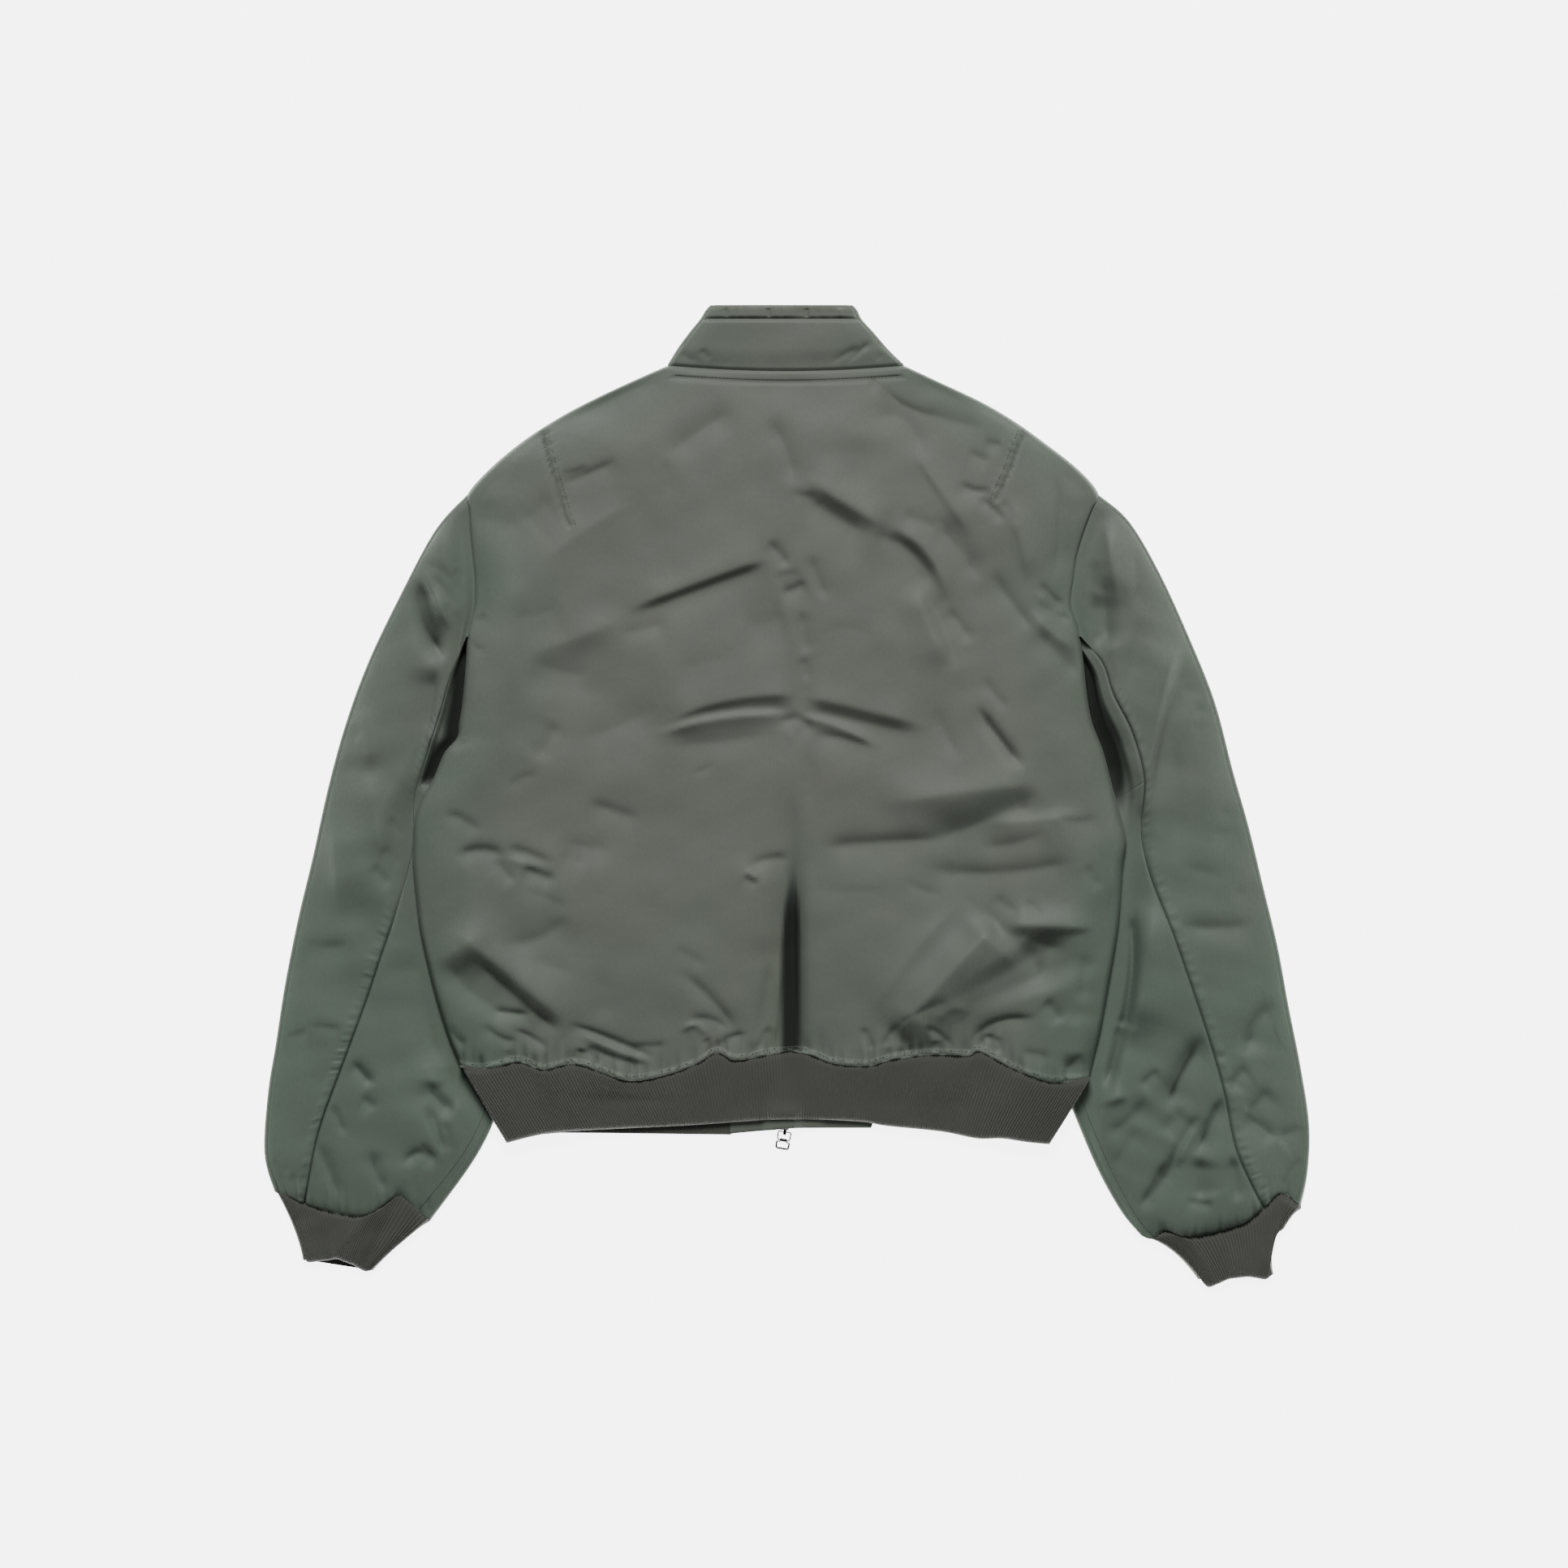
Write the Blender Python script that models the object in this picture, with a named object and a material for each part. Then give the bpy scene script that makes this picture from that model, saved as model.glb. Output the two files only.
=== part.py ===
"""A padded nylon bomber jacket laid flat with its back up and its sleeves down beside the body.

Sizes in the tables are millimetres, and MM turns them into metres. +X is the wearer's right, +Y points
to the collar and +Z up from the surface. The origin is on that surface, under the middle of the jacket.
Every piece is a wall with an outer and an inner side. Where one layer lies on another, its height is
worked out from the layer below, so each piece stays just clear of its neighbours.
"""

import math

import bmesh
import bpy
from mathutils import Matrix, Vector

MM = 0.001
MIDDLE = Vector((-0.607, 0.259, 0.0))  # the middle of the jacket, where the tables' x and y are 0 nearby

# Driving sizes.
WALL = 3.0  # padded nylon: shell, wadding and lining
KNIT = 3.0  # doubled rib knit
SEAM = 0.3  # gap between two pieces at a seam
CLEAR = 0.9  # gap between the back and the layer that it lies on
TUBE = 7.4  # height of a flattened sleeve where the body lies on it
TUCK = 8.2  # how far the fronts are lifted where they lie on a sleeve
RAMP = 60.0  # width of the slope on which a layer comes down off a sleeve
BODY_PUFF = 6.0  # how far the padded back stands off the fronts
SLEEVE_PUFF = 7.0
HEM_PUFF_RUN = 34.0  # the nylon swells over this distance above the hem welt
EDGE_RUN = 46.0  # and over this distance in from a folded edge
RIB_HEIGHT = 0.55
HEM_RIBS = 206
CUFF_RIBS = 28
FRONT_SEAM = 12.0  # the sleeve's front seam lies this far in from its inner fold

# The back's outline: height up the jacket, left edge, right edge.
BACK_EDGES = (
    (382, -107, 104), (368, -139, 134), (350, -177, 172), (333, -208, 201), (313, -238, 229),
    (290, -265, 258), (268, -284, 276), (252, -283, 270), (233, -282, 263), (213, -280, 257),
    (193, -278, 254), (170, -278, 251), (157, -281, 255), (142, -284, 259), (120, -285, 262),
    (85, -288, 266), (65, -291, 270), (52, -293, 275), (39, -304, 280), (16, -314, 286),
    (-3, -325, 291), (-21, -331, 296), (-40, -332, 300), (-63, -332, 297), (-93, -329, 295),
    (-123, -325, 292), (-170, -314, 284), (-201, -305, 278), (-221, -298, 272), (-240, -290, 267),
)
# The fronts' outline below them: the same, but the armhole runs on down to the underarm.
FRONT_EDGES = (
    (382, -105, 102), (368, -137, 132), (350, -175, 170), (333, -206, 199), (313, -236, 227),
    (290, -263, 256), (268, -283, 275), (252, -282, 269), (233, -281, 262), (213, -279, 256),
    (193, -277, 253), (170, -277, 250), (157, -280, 254), (142, -283, 258), (120, -281, 256),
    (98, -268, 246), (83, -251, 235), (59, -248, 228), (30, -248, 227), (8, -262, 240),
    (-12, -300, 268), (-32, -322, 290), (-63, -328, 293), (-93, -325, 291), (-123, -321, 288),
    (-170, -310, 280), (-201, -301, 274), (-221, -294, 268), (-240, -286, 263),
)
# The side of the sleeves towards the body: down the armhole, then down the sleeve's inner fold.
SLEEVE_SIDES = (
    (268, -284, 276), (252, -283, 270), (233, -282, 263), (213, -280, 257), (193, -278, 254),
    (170, -278, 251), (157, -281, 255), (142, -284, 259), (120, -282, 257), (98, -269, 247),
    (83, -252, 236), (59, -249, 229), (26, -249, 228), (-42, -250, 229), (-157, -249, 232),
    (-211, -249, 234), (-247, -251, 240), (-281, -258, 254), (-322, -278, 272), (-375, -316, 300),
)
ARMHOLE_ROWS = (268, 242, 215, 190, 165, 142, 120, 98, 83)  # heights of the stations along each armhole seam
ARMHOLE_TOP = 268.0
BACK_SEAM_TOP = 142.0
UNDERARM = 83.0
UNDER_TUCK = (30.0, 62.0)  # the fronts rise on to the sleeves between these heights

# Rows down each sleeve: outer fold, back seam and inner fold, each as x, y.
LEFT_SLEEVE = (
    (-284, 268, -284, 142, -252, 83), (-313, 236, -298, 108, -250, 57), (-347, 172, -308, 73, -249, 26),
    (-373, 117, -319, 39, -249, -6), (-393, 62, -331, -3, -250, -42), (-409, 5, -332, -44, -250, -78),
    (-422, -53, -347, -103, -250, -121), (-435, -107, -359, -139, -249, -168),
    (-447, -167, -373, -181, -249, -211), (-455, -219, -388, -222, -251, -247),
    (-462, -262, -401, -257, -258, -281), (-465, -316, -417, -301, -278, -322),
    (-455, -350, -428, -355, -316, -375),
)
RIGHT_SLEEVE = (
    (276, 268, 259, 142, 236, 83), (303, 244, 279, 118, 230, 55), (331, 196, 289, 89, 228, 26),
    (358, 136, 305, 57, 228, -6), (379, 83, 316, 14, 229, -42), (395, 24, 313, -31, 230, -78),
    (410, -28, 321, -70, 231, -114), (422, -78, 339, -116, 232, -157), (435, -132, 355, -161, 233, -202),
    (445, -186, 372, -212, 239, -244), (456, -240, 386, -260, 254, -281), (464, -291, 396, -309, 275, -330),
    (462, -334, 409, -342, 296, -368), (455, -363, 422, -368, 313, -389),
)
# Stations across a sleeve, as shares of the way across its top and its under piece.
TOP_ACROSS = (0, 0.07, 0.183, 0.404, 0.608, 0.813, 1)  # all but the second fall on ARMHOLE_ROWS
UNDER_ACROSS = (0, 0.1, 0.22, 0.34, 0.46, 0.58, 0.7, 0.81, 0.91, 1)
FOLD_TURNS = (60, 15, -30, -90)  # degrees round a folded edge, from the upper side to the lower
SLEEVE_ROWS = 13
SLEEVE_START = 0.0022  # how far down the sleeve its first row lies, as a share of its length
GUSSET_END = 4 / SLEEVE_ROWS
BACK_SEAM_SHARES = {-1: (0.66, 0.2), 1: (0.66, 0.24)}  # the back seam across the sleeve, top and bottom
# How far each cuff seam strays along the sleeve: place across the sleeve, stray.
LEFT_CUFF_WAVE = ((0.0, 0), (0.2, -7), (0.45, -10), (0.62, -5), (0.79, 15), (0.9, 6), (1.0, 0))
RIGHT_CUFF_WAVE = ((0.0, 0), (0.13, 14), (0.24, 3), (0.38, -8), (0.7, -10), (0.85, 0), (0.93, -5), (1.0, 0))
# Cuffs: the two ends of the seam edge and of the free edge, each as x, y.
LEFT_CUFF = (-447, -356, -318, -376, -427, -411, -372, -421)
RIGHT_CUFF = (452, -366, 316, -390, 426, -427, 369, -435)
CUFFS = {-1: LEFT_CUFF, 1: RIGHT_CUFF}
CUFF_WAIST = 4.0  # how far a cuff draws in on each side
CUFF_SEAM = 0.9  # place of the cuff's own seam across its lower side

# The seam between nylon and hem welt, and the welt's lower edge, each as x, y.
HEM_SEAM = (
    (-290, -239), (-273, -242), (-256, -239), (-237, -235), (-216, -242), (-190, -237), (-164, -245),
    (-139, -252), (-108, -247), (-80, -237), (-63, -227), (-46, -234), (-12, -228), (4, -226),
    (20, -229), (41, -237), (71, -239), (93, -233), (129, -229), (160, -230), (170, -226),
    (201, -242), (234, -253), (267, -250),
)
HEM_EDGE = (
    (-249, -307), (-226, -301), (-201, -297), (-141, -294), (-80, -291), (-38, -288), (1, -286),
    (63, -288), (87, -292), (136, -297), (167, -303), (190, -303), (211, -306), (232, -308),
)
HEM_REST = -240.0  # the row of the back that becomes the hem seam
# The lower edge of the front layer, which shows below the welt on the left: x, y.
FRONT_HEM = (
    (-246, -302), (-202, -298), (-130, -299), (-51, -300), (-49, -299), (5, -294), (74, -294),
    (76, -289), (130, -292), (230, -303),
)
PLACKET_SIDES = (-51.0, 74.0)
FRONT_EDGE_GAP = 1.2  # between the two front edges, over the zip
FRONT_MIDDLE = (6.0, -3.0)  # x of the zip at the hem and at the neck
NECK_SAG = 5.0
FRONT_NECK_DROP = 46.0

# Collar rows from the neck seam up: height, left fold, right fold.
COLLAR_ROWS = (
    (382, -107, 104), (397, -98, 89), (412, -87, 76), (423, -78, 66), (431, -73, 62), (435.5, -69, 58),
)
COLLAR_STITCH = 423.0  # height of the channel stitched along the collar's top

# Folds of the back as curves through a start, a bend and an end: x and y of each, half width, height.
BACK_FOLDS = (
    (5, 38, 7, -100, 8, -228, 13, -9.0),  # trough up the middle
    (-38, 20, -34, -110, -30, -215, 38, 3.5),  # the roll on its left
    (48, 20, 50, -110, 46, -215, 36, 4.0),  # and on its right
    (-5, 211, -93, 178, -225, 124, 24, 4.5),  # long crease, left of the middle
    (-10, 193, -100, 160, -200, 118, 16, -3.0),
    (22, 279, 86, 238, 140, 160, 24, 4.5),  # ridge from the middle to the right
    (12, 272, 60, 224, 120, 150, 18, -3.5),
    (-118, 61, -12, 83, 142, 55, 15, -4.0),  # the large fold across the middle
    (-118, 45, 2, 66, 142, 40, 19, 5.0),
    (220, 10, 134, -40, 27, -47, 19, -4.0),  # folds below it on the right
    (230, -8, 150, -58, 40, -66, 18, 3.0),
    (275, -119, 200, -115, 100, -212, 24, -5.0),  # lower right
    (262, -145, 215, -160, 150, -215, 24, 3.5),
    (-292, -119, -236, -188, -185, -210, 18, -4.5),  # lower left
    (-270, -107, -210, -172, -150, -202, 22, 4.0),
    (-98, -155, -72, -178, -44, -210, 15, -3.0),
    (125, 288, 150, 218, 171, 192, 16, -3.0),  # diagonals from the right shoulder
    (182, 200, 224, 148, 259, 101, 18, 4.0),
    (170, 75, 190, 48, 210, 22, 15, -3.0),
    (-134, 257, -170, 236, -195, 215, 18, 2.5),
    (-266, -42, -230, -60, -205, -72, 16, 3.0),
)
LEFT_SLEEVE_FOLDS = (
    (-330, 206, -305, 190, -280, 170, 16, 3.0),
    (-372, 120, -345, 128, -318, 136, 14, -3.0),
    (-392, -240, -372, -255, -362, -268, 14, 2.5),
    (-318, -275, -308, -300, -300, -325, 15, -3.0),
    (-410, -310, -405, -330, -398, -345, 12, -2.5),
)
RIGHT_SLEEVE_FOLDS = (
    (351, 134, 322, 20, 295, -110, 15, -4.0),
    (304, -110, 302, -166, 282, -245, 16, -3.5),
    (367, -206, 350, -250, 335, -281, 17, -4.0),
    (363, -283, 350, -310, 337, -338, 15, -3.0),
    (434, -190, 415, -205, 405, -232, 14, -3.0),
    (410, -282, 438, -305, 462, -295, 13, -3.0),
)

# Zip and pull.
TAPE_WIDTH = 28.0
TAPE_THICK = 1.2
SLIDER_MIDDLE = (-3.0, -290.5)
SLIDER_SIZE = (8.0, 10.0, 3.0)
SLIDER_FLOOR = 2.6
ZIP_RISE = 6.1  # how far the front edges are lifted over the slider
ZIP_RISE_RUN = 16.0
WIRE = 0.58  # radius of the pull's wire
PULL_TURN = math.radians(-10)  # the pull lies turned this way
BAIL_AXIS = (-2.5, -297.4, 1.7)
BAIL_SIZE = (11.6, 10.8, 7.4)  # width at the slider, width at the ring, length
RING_SIZE = (11.4, 7.6)
BARREL = (0.9, 1.4, 6.4)  # bore radius, outer radius, length
RING_AXIS_HEIGHT = 1.5
BAIL_DROP = math.asin((BAIL_AXIS[2] - RING_AXIS_HEIGHT) / BAIL_SIZE[2])  # slope of the bail


def smooth(t):
    t = min(max(t, 0.0), 1.0)
    return t * t * (3.0 - 2.0 * t)


def swell(t):
    """Rises like a quarter circle from 0 to 1, as padded cloth does next to its edge."""
    t = min(max(t, 0.0), 1.0)
    return math.sqrt(t * (2.0 - t))


def blend(a, b, t):
    return a + (b - a) * t


def look_up(table, at, column):
    """The value of a column of the table at a place in its first column, on straight lines between rows."""
    rows = table if table[0][0] < table[-1][0] else table[::-1]
    if at <= rows[0][0]:
        return rows[0][column]
    for low, high in zip(rows, rows[1:]):
        if at <= high[0]:
            return blend(low[column], high[column], (at - low[0]) / (high[0] - low[0]))
    return rows[-1][column]


def row_between(rows, t):
    """A row of the table at t from 0 to 1 down it, on a smooth curve through the rows."""
    place = min(max(t, 0.0), 1.0) * (len(rows) - 1)
    index = min(int(place), len(rows) - 2)
    f = place - index
    before = rows[max(index - 1, 0)]
    start = rows[index]
    end = rows[index + 1]
    after = rows[min(index + 2, len(rows) - 1)]
    return [
        0.5 * (2 * b + f * (c - a + f * (2 * a - 5 * b + 4 * c - d + f * (3 * b - a - 3 * c + d))))
        for a, b, c, d in zip(before, start, end, after)
    ]


def spread(count):
    return [i / count for i in range(count + 1)]


def fold_height(folds, x, y):
    """Sum of the folds at a place. Each is a soft ridge or trough that fades at both ends of its curve."""
    total = 0.0
    for x0, y0, x1, y1, x2, y2, half_width, height in folds:
        nearest = None
        steps = 10
        for i in range(steps + 1):
            t = i / steps
            bend_x = 2 * x1 - 0.5 * (x0 + x2)
            bend_y = 2 * y1 - 0.5 * (y0 + y2)
            fold_x = (1 - t) ** 2 * x0 + 2 * t * (1 - t) * bend_x + t * t * x2
            fold_y = (1 - t) ** 2 * y0 + 2 * t * (1 - t) * bend_y + t * t * y2
            away = math.hypot(x - fold_x, y - fold_y)
            if nearest is None or away < nearest[0]:
                nearest = (away, t)
        away, t = nearest
        total += height * math.exp(-((away / half_width) ** 2)) * math.sin(math.pi * (0.12 + 0.76 * t)) ** 0.6
    return total


def over_sleeves(x, y, from_y, to_y, height, reach):
    """How far a layer is lifted where it lies on the inner side of a sleeve, and beside it."""
    left = x - look_up(SLEEVE_SIDES, max(y, HEM_REST), 1)
    right = look_up(SLEEVE_SIDES, max(y, HEM_REST), 2) - x
    beside = min(left, right)
    return height * (1 - smooth((beside - reach) / RAMP)) * smooth((to_y - y) / (to_y - from_y))


def over_zip(x, y):
    """The front edges pass over the zip's tape, and over its slider at the hem."""
    middle = zip_x(y)
    tape = (TAPE_THICK + SEAM) * (1 - smooth((abs(x - middle) - TAPE_WIDTH / 2 - 4.0) / 12.0))
    slider_x, slider_y = SLIDER_MIDDLE
    near = max(abs(x - slider_x) - 7.0, y - slider_y - 8.0, 0.0)
    return max(tape, ZIP_RISE * (1 - smooth(near / ZIP_RISE_RUN)))


def zip_x(y):
    return blend(FRONT_MIDDLE[0], FRONT_MIDDLE[1], (y - FRONT_HEM[0][1]) / (382 - FRONT_HEM[0][1]))


def front_under(x, y):
    return max(over_sleeves(x, y, *UNDER_TUCK, TUCK, 12.0), over_zip(x, y))


def back_rest(x, y):
    """The lowest that the back may lie: just clear of the fronts, and of the sleeves beside them."""
    lifted = over_sleeves(x, y, ARMHOLE_TOP - 62, ARMHOLE_TOP - 2, TUCK, 22.0)
    return max(lifted, over_zip(x, y)) + WALL + CLEAR


def hem_seam_y(x):
    return look_up(HEM_SEAM, x, 1)


def back_under(x, y):
    left, right = look_up(BACK_EDGES, y, 1), look_up(BACK_EDGES, y, 2)
    slant = 0.55 if y > ARMHOLE_TOP else 1.0
    inward = slant * min(x - left, right - x) / EDGE_RUN
    down = (y - hem_seam_y(x)) / HEM_PUFF_RUN
    up = (382 - y) / 70
    puff = BODY_PUFF * swell(inward) * swell(down) * swell(up)
    shaped = puff + smooth(4 * min(inward, down, up)) * fold_height(BACK_FOLDS, x, y)
    return back_rest(x, y) + max(shaped, 0.0)


def back_top(x, y):
    left, right = look_up(BACK_EDGES, y, 1), look_up(BACK_EDGES, y, 2)
    free_edge = y > ARMHOLE_TOP or y < BACK_SEAM_TOP
    thin = 1 - smooth(min(x - left, right - x) / 3.0) if free_edge else 0.0
    return back_under(x, y) + WALL * (1 - 0.45 * thin)


# ---- building -----------------------------------------------------------------------------------


def clear_scene():
    for obj in list(bpy.data.objects):
        bpy.data.objects.remove(obj, do_unlink=True)


def make_material(name, color, roughness, metallic=0.0):
    material = bpy.data.materials.new(name)
    material.use_nodes = True
    shader = material.node_tree.nodes["Principled BSDF"]
    shader.inputs["Base Color"].default_value = (*color, 1.0)
    shader.inputs["Roughness"].default_value = roughness
    shader.inputs["Metallic"].default_value = metallic
    return material


def add_object(name, mesh, material):
    """Makes an object of a bmesh whose points are millimetres from the origin."""
    bmesh.ops.scale(mesh, vec=(MM, MM, MM), verts=mesh.verts)
    bmesh.ops.recalc_face_normals(mesh, faces=mesh.faces)
    data = bpy.data.meshes.new(name)
    mesh.to_mesh(data)
    mesh.free()
    data.materials.append(material)
    data.shade_smooth()
    data.set_sharp_from_angle(angle=math.radians(40))
    obj = bpy.data.objects.new(name, data)
    obj.location = -MIDDLE * MM
    bpy.context.scene.collection.objects.link(obj)
    return obj


def build_wall(name, columns, rows, outer, inner, material):
    """A closed wall. columns and rows are lists of stations; outer and inner give the place of each pair."""
    mesh = bmesh.new()
    bmesh.ops.create_grid(mesh, x_segments=len(columns) - 1, y_segments=len(rows) - 1, size=0.5)
    sheet = list(mesh.verts)
    grown = bmesh.ops.extrude_face_region(mesh, geom=mesh.faces[:], use_keep_orig=True)["geom"]
    raised = [item for item in grown if isinstance(item, bmesh.types.BMVert)]
    for side, verts in ((inner, sheet), (outer, raised)):
        for vert in verts:
            column = round((vert.co.x + 0.5) * (len(columns) - 1))
            row = round((vert.co.y + 0.5) * (len(rows) - 1))
            vert.co = side(columns[column], rows[row])
    return add_object(name, mesh, material)


def layer_wall(name, columns, rows, plan, top, under, material):
    """A wall that lies: plan gives x and y of a station, and top and under its two heights there."""

    def outer(u, v):
        x, y = plan(u, v)
        return Vector((x, y, top(x, y)))

    def inner(u, v):
        x, y = plan(u, v)
        return Vector((x, y, under(x, y)))

    return build_wall(name, columns, rows, outer, inner, material)


def seam_columns(start, end, extra=()):
    """Stations from 0 to 1 between two places on the hem seam, one at each point of its line."""
    inside = [(x - start) / (end - start) for x, _ in HEM_SEAM]
    return sorted([0.0, *[u for u in inside if 0.02 < u < 0.98], *extra, 1.0])


# ---- body ---------------------------------------------------------------------------------------


def back_plan(u, y):
    """A place on the back: u across it, y down its rows. The neck sags and the last row is the hem seam."""
    x = blend(look_up(BACK_EDGES, y, 1), look_up(BACK_EDGES, y, 2), u)
    sag = NECK_SAG * 4 * u * (1 - u) * smooth((y - 330) / 52)
    hem = (hem_seam_y(x) - HEM_REST) * smooth((HEM_REST + 60 - y) / 60)
    return x, y - sag + hem


def make_back(nylon):
    edges_and_trough = (0.006, 0.47, 0.513, 0.520, 0.535, 0.542, 0.57, 0.994)
    columns = seam_columns(HEM_SEAM[0][0], HEM_SEAM[-1][0], edges_and_trough)
    rows = [382, 366, 350, 333, 313, 290, *ARMHOLE_ROWS[:6], 120, 102, 85, 68, 52, 34, 16, -5,
            -28, -54, -82, -110, -138, -165, -190, -210, -225, -235, -240]
    layer_wall("back", columns, rows[::-1], back_plan, back_top, back_under, nylon)


def front_columns(side):
    """Stations across a front and its welt, each on a point of the hem seam."""
    index = 1 if side < 0 else 2
    every = seam_columns(FRONT_EDGES[-1][index], PLACKET_SIDES[index - 1] + side * SEAM)
    return [u for i, u in enumerate(every) if u < 0.45 or i % 2 == 0 or u == 1.0]


def front_plan(side, u, y):
    """A place on a front panel: u from the side to the placket seam. The neck edge dips to the middle."""
    edge = look_up(FRONT_EDGES, y, 1 if side < 0 else 2)
    seam = PLACKET_SIDES[0 if side < 0 else 1] + side * SEAM
    x = blend(edge, seam, u)
    neck = front_neck_y(x)
    hem = (hem_seam_y(x) - HEM_REST) * smooth((HEM_REST + 60 - y) / 60)
    return x, min(y + hem, neck - SEAM + min(0, y - 382) * 0.3)


def front_neck_y(x):
    """The front neck seam: a curve from one side of the neck down to the zip and up again."""
    across = (x + 1.5) / 106
    return 382 - FRONT_NECK_DROP * max(0.0, 1 - across * across)


def make_fronts(nylon):
    rows = [382, 366, 345, 313, *ARMHOLE_ROWS, 59, 44, 30, 19, 8, -2, -12, -22, -32, -63, -110, -160, -205,
            HEM_REST]
    for side, name in ((-1, "front_left"), (1, "front_right")):
        layer_wall(
            name, front_columns(side), rows[::-1],
            lambda u, y, side=side: front_plan(side, u, y),
            lambda x, y: front_under(x, y) + WALL,
            front_under, nylon,
        )


def make_plackets(nylon):
    """The doubled strip down each front edge, from the neck to the bottom, with the zip under its edge."""
    rows = [0, 0.12, 0.3, 0.5, 0.7, 0.88, 0.94, 0.957, 0.97, 0.985, 1]
    for side, name in ((-1, "placket_left"), (1, "placket_right")):
        seam = PLACKET_SIDES[0 if side < 0 else 1]

        def plan(u, v, side=side, seam=seam):
            near_zip = zip_x(blend(338, -294, v)) + side * FRONT_EDGE_GAP / 2
            x = blend(seam, near_zip, u)
            low = look_up(FRONT_HEM, x - side * 0.5, 1)
            return x, blend(front_neck_y(x) - SEAM, low, v)

        layer_wall(
            name, [0, 0.25, 0.42, 0.54, 0.64, 0.74, 0.84, 0.92, 1], rows, plan,
            lambda x, y: front_under(x, y) + WALL,
            front_under, nylon,
        )


def welt_plan(u, v):
    """A place on the back's hem welt: u along it, v from the seam to its free edge."""
    x_top = blend(HEM_SEAM[0][0], HEM_SEAM[-1][0], u)
    x_low = blend(HEM_EDGE[0][0], HEM_EDGE[-1][0], u)
    y_top = hem_seam_y(x_top) - SEAM
    return blend(x_top, x_low, v), blend(y_top, look_up(HEM_EDGE, x_low, 1), v)


def make_back_welt(knit):
    """The knitted welt across the back, with each rib of the knit raised in its outer side."""
    columns = [i / (2 * HEM_RIBS) for i in range(2 * HEM_RIBS + 1)]

    def place(u, v, raised):
        x, y = welt_plan(u, v)
        z = back_rest(x, y)
        if raised:
            ridge = round(u * 2 * HEM_RIBS) % 2
            z += KNIT * (1 - 0.35 * (v == 1.0)) - RIB_HEIGHT * (1 - ridge)
        return Vector((x, y, z))

    build_wall(
        "hem_back", columns, [1.0, 0.0],
        lambda u, v: place(u, v, True),
        lambda u, v: place(u, v, False), knit,
    )


def make_front_welts(knit):
    for side, name in ((-1, "hem_front_left"), (1, "hem_front_right")):
        seam = PLACKET_SIDES[0 if side < 0 else 1] + side * SEAM
        top_side = FRONT_EDGES[-1][1 if side < 0 else 2]
        low_side = FRONT_HEM[0][0] if side < 0 else FRONT_HEM[-1][0]

        def plan(u, v, seam=seam, top_side=top_side, low_side=low_side):
            x = blend(blend(top_side, low_side, v), seam, u)
            x_top = blend(top_side, seam, u)
            return x, blend(hem_seam_y(x_top) - SEAM, look_up(FRONT_HEM, x, 1), v)

        layer_wall(
            name, front_columns(side), [1, 0.66, 0.33, 0], plan,
            lambda x, y: front_under(x, y) + KNIT,
            front_under, knit,
        )


# ---- flattened tubes ----------------------------------------------------------------------------


def tube_point(plan, crest, width, station, v, depth):
    """The outer side of a flattened tube at a station, or depth inside it. width is its size across in mm."""
    w, turn = station
    radius = TUBE / 2
    inset = radius / width
    at = min(max(w, inset), 1 - inset)
    x, y = plan(at, v, turn)
    if abs(turn) == 90 and inset < w < 1 - inset:
        z = crest(at, v) - depth if turn > 0 else depth
        return Vector((x, y, z))
    end = 0.0 if w < 0.5 else 1.0
    tip = Vector(plan(end, v, turn))
    outward = (tip - Vector((x, y))).normalized()
    angle = math.radians(turn)
    reach = (radius - depth) * math.cos(angle)
    return Vector((x + outward.x * reach, y + outward.y * reach, radius + (radius - depth) * math.sin(angle)))


def sleeve_plan(side, w, v, turn=90):
    """A place on a sleeve: w from 0 at the outer fold to 1 at the inner fold, v down it from the armhole."""
    rows = LEFT_SLEEVE if side < 0 else RIGHT_SLEEVE
    outer_x, outer_y, seam_x, seam_y, inner_x, inner_y = row_between(rows, v)
    seam_w = back_seam_w(side, v)
    if w < seam_w:
        x, y = blend(outer_x, seam_x, w / seam_w), blend(outer_y, seam_y, w / seam_w)
    else:
        f = (w - seam_w) / (1 - seam_w)
        x, y = blend(seam_x, inner_x, f), blend(seam_y, inner_y, f)
    first = 1 - smooth(v / 0.12)
    if first > 0:
        start = rows[0]
        straight_y = blend(start[1], start[3], w / seam_w) if w < seam_w else blend(start[3], start[5], f)
        straight_x = blend(start[0], start[2], w / seam_w) if w < seam_w else blend(start[2], start[4], f)
        x += first * (look_up(SLEEVE_SIDES, straight_y, 1 if side < 0 else 2) - straight_x)
    if turn > 0:
        wave = LEFT_CUFF_WAVE if side < 0 else RIGHT_CUFF_WAVE
        y += look_up(wave, w, 1) * smooth((v - 0.84) / 0.16)
    return x, y


def back_seam_w(side, v):
    """Where the back seam lies across the sleeve, from its armhole end to its cuff end."""
    return blend(*BACK_SEAM_SHARES[side], smooth(0.15 + 0.85 * v))


def sleeve_width(side, v):
    rows = LEFT_SLEEVE if side < 0 else RIGHT_SLEEVE
    outer_x, outer_y, seam_x, seam_y, inner_x, inner_y = row_between(rows, v)
    return math.hypot(outer_x - seam_x, outer_y - seam_y) + math.hypot(seam_x - inner_x, seam_y - inner_y)


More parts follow.
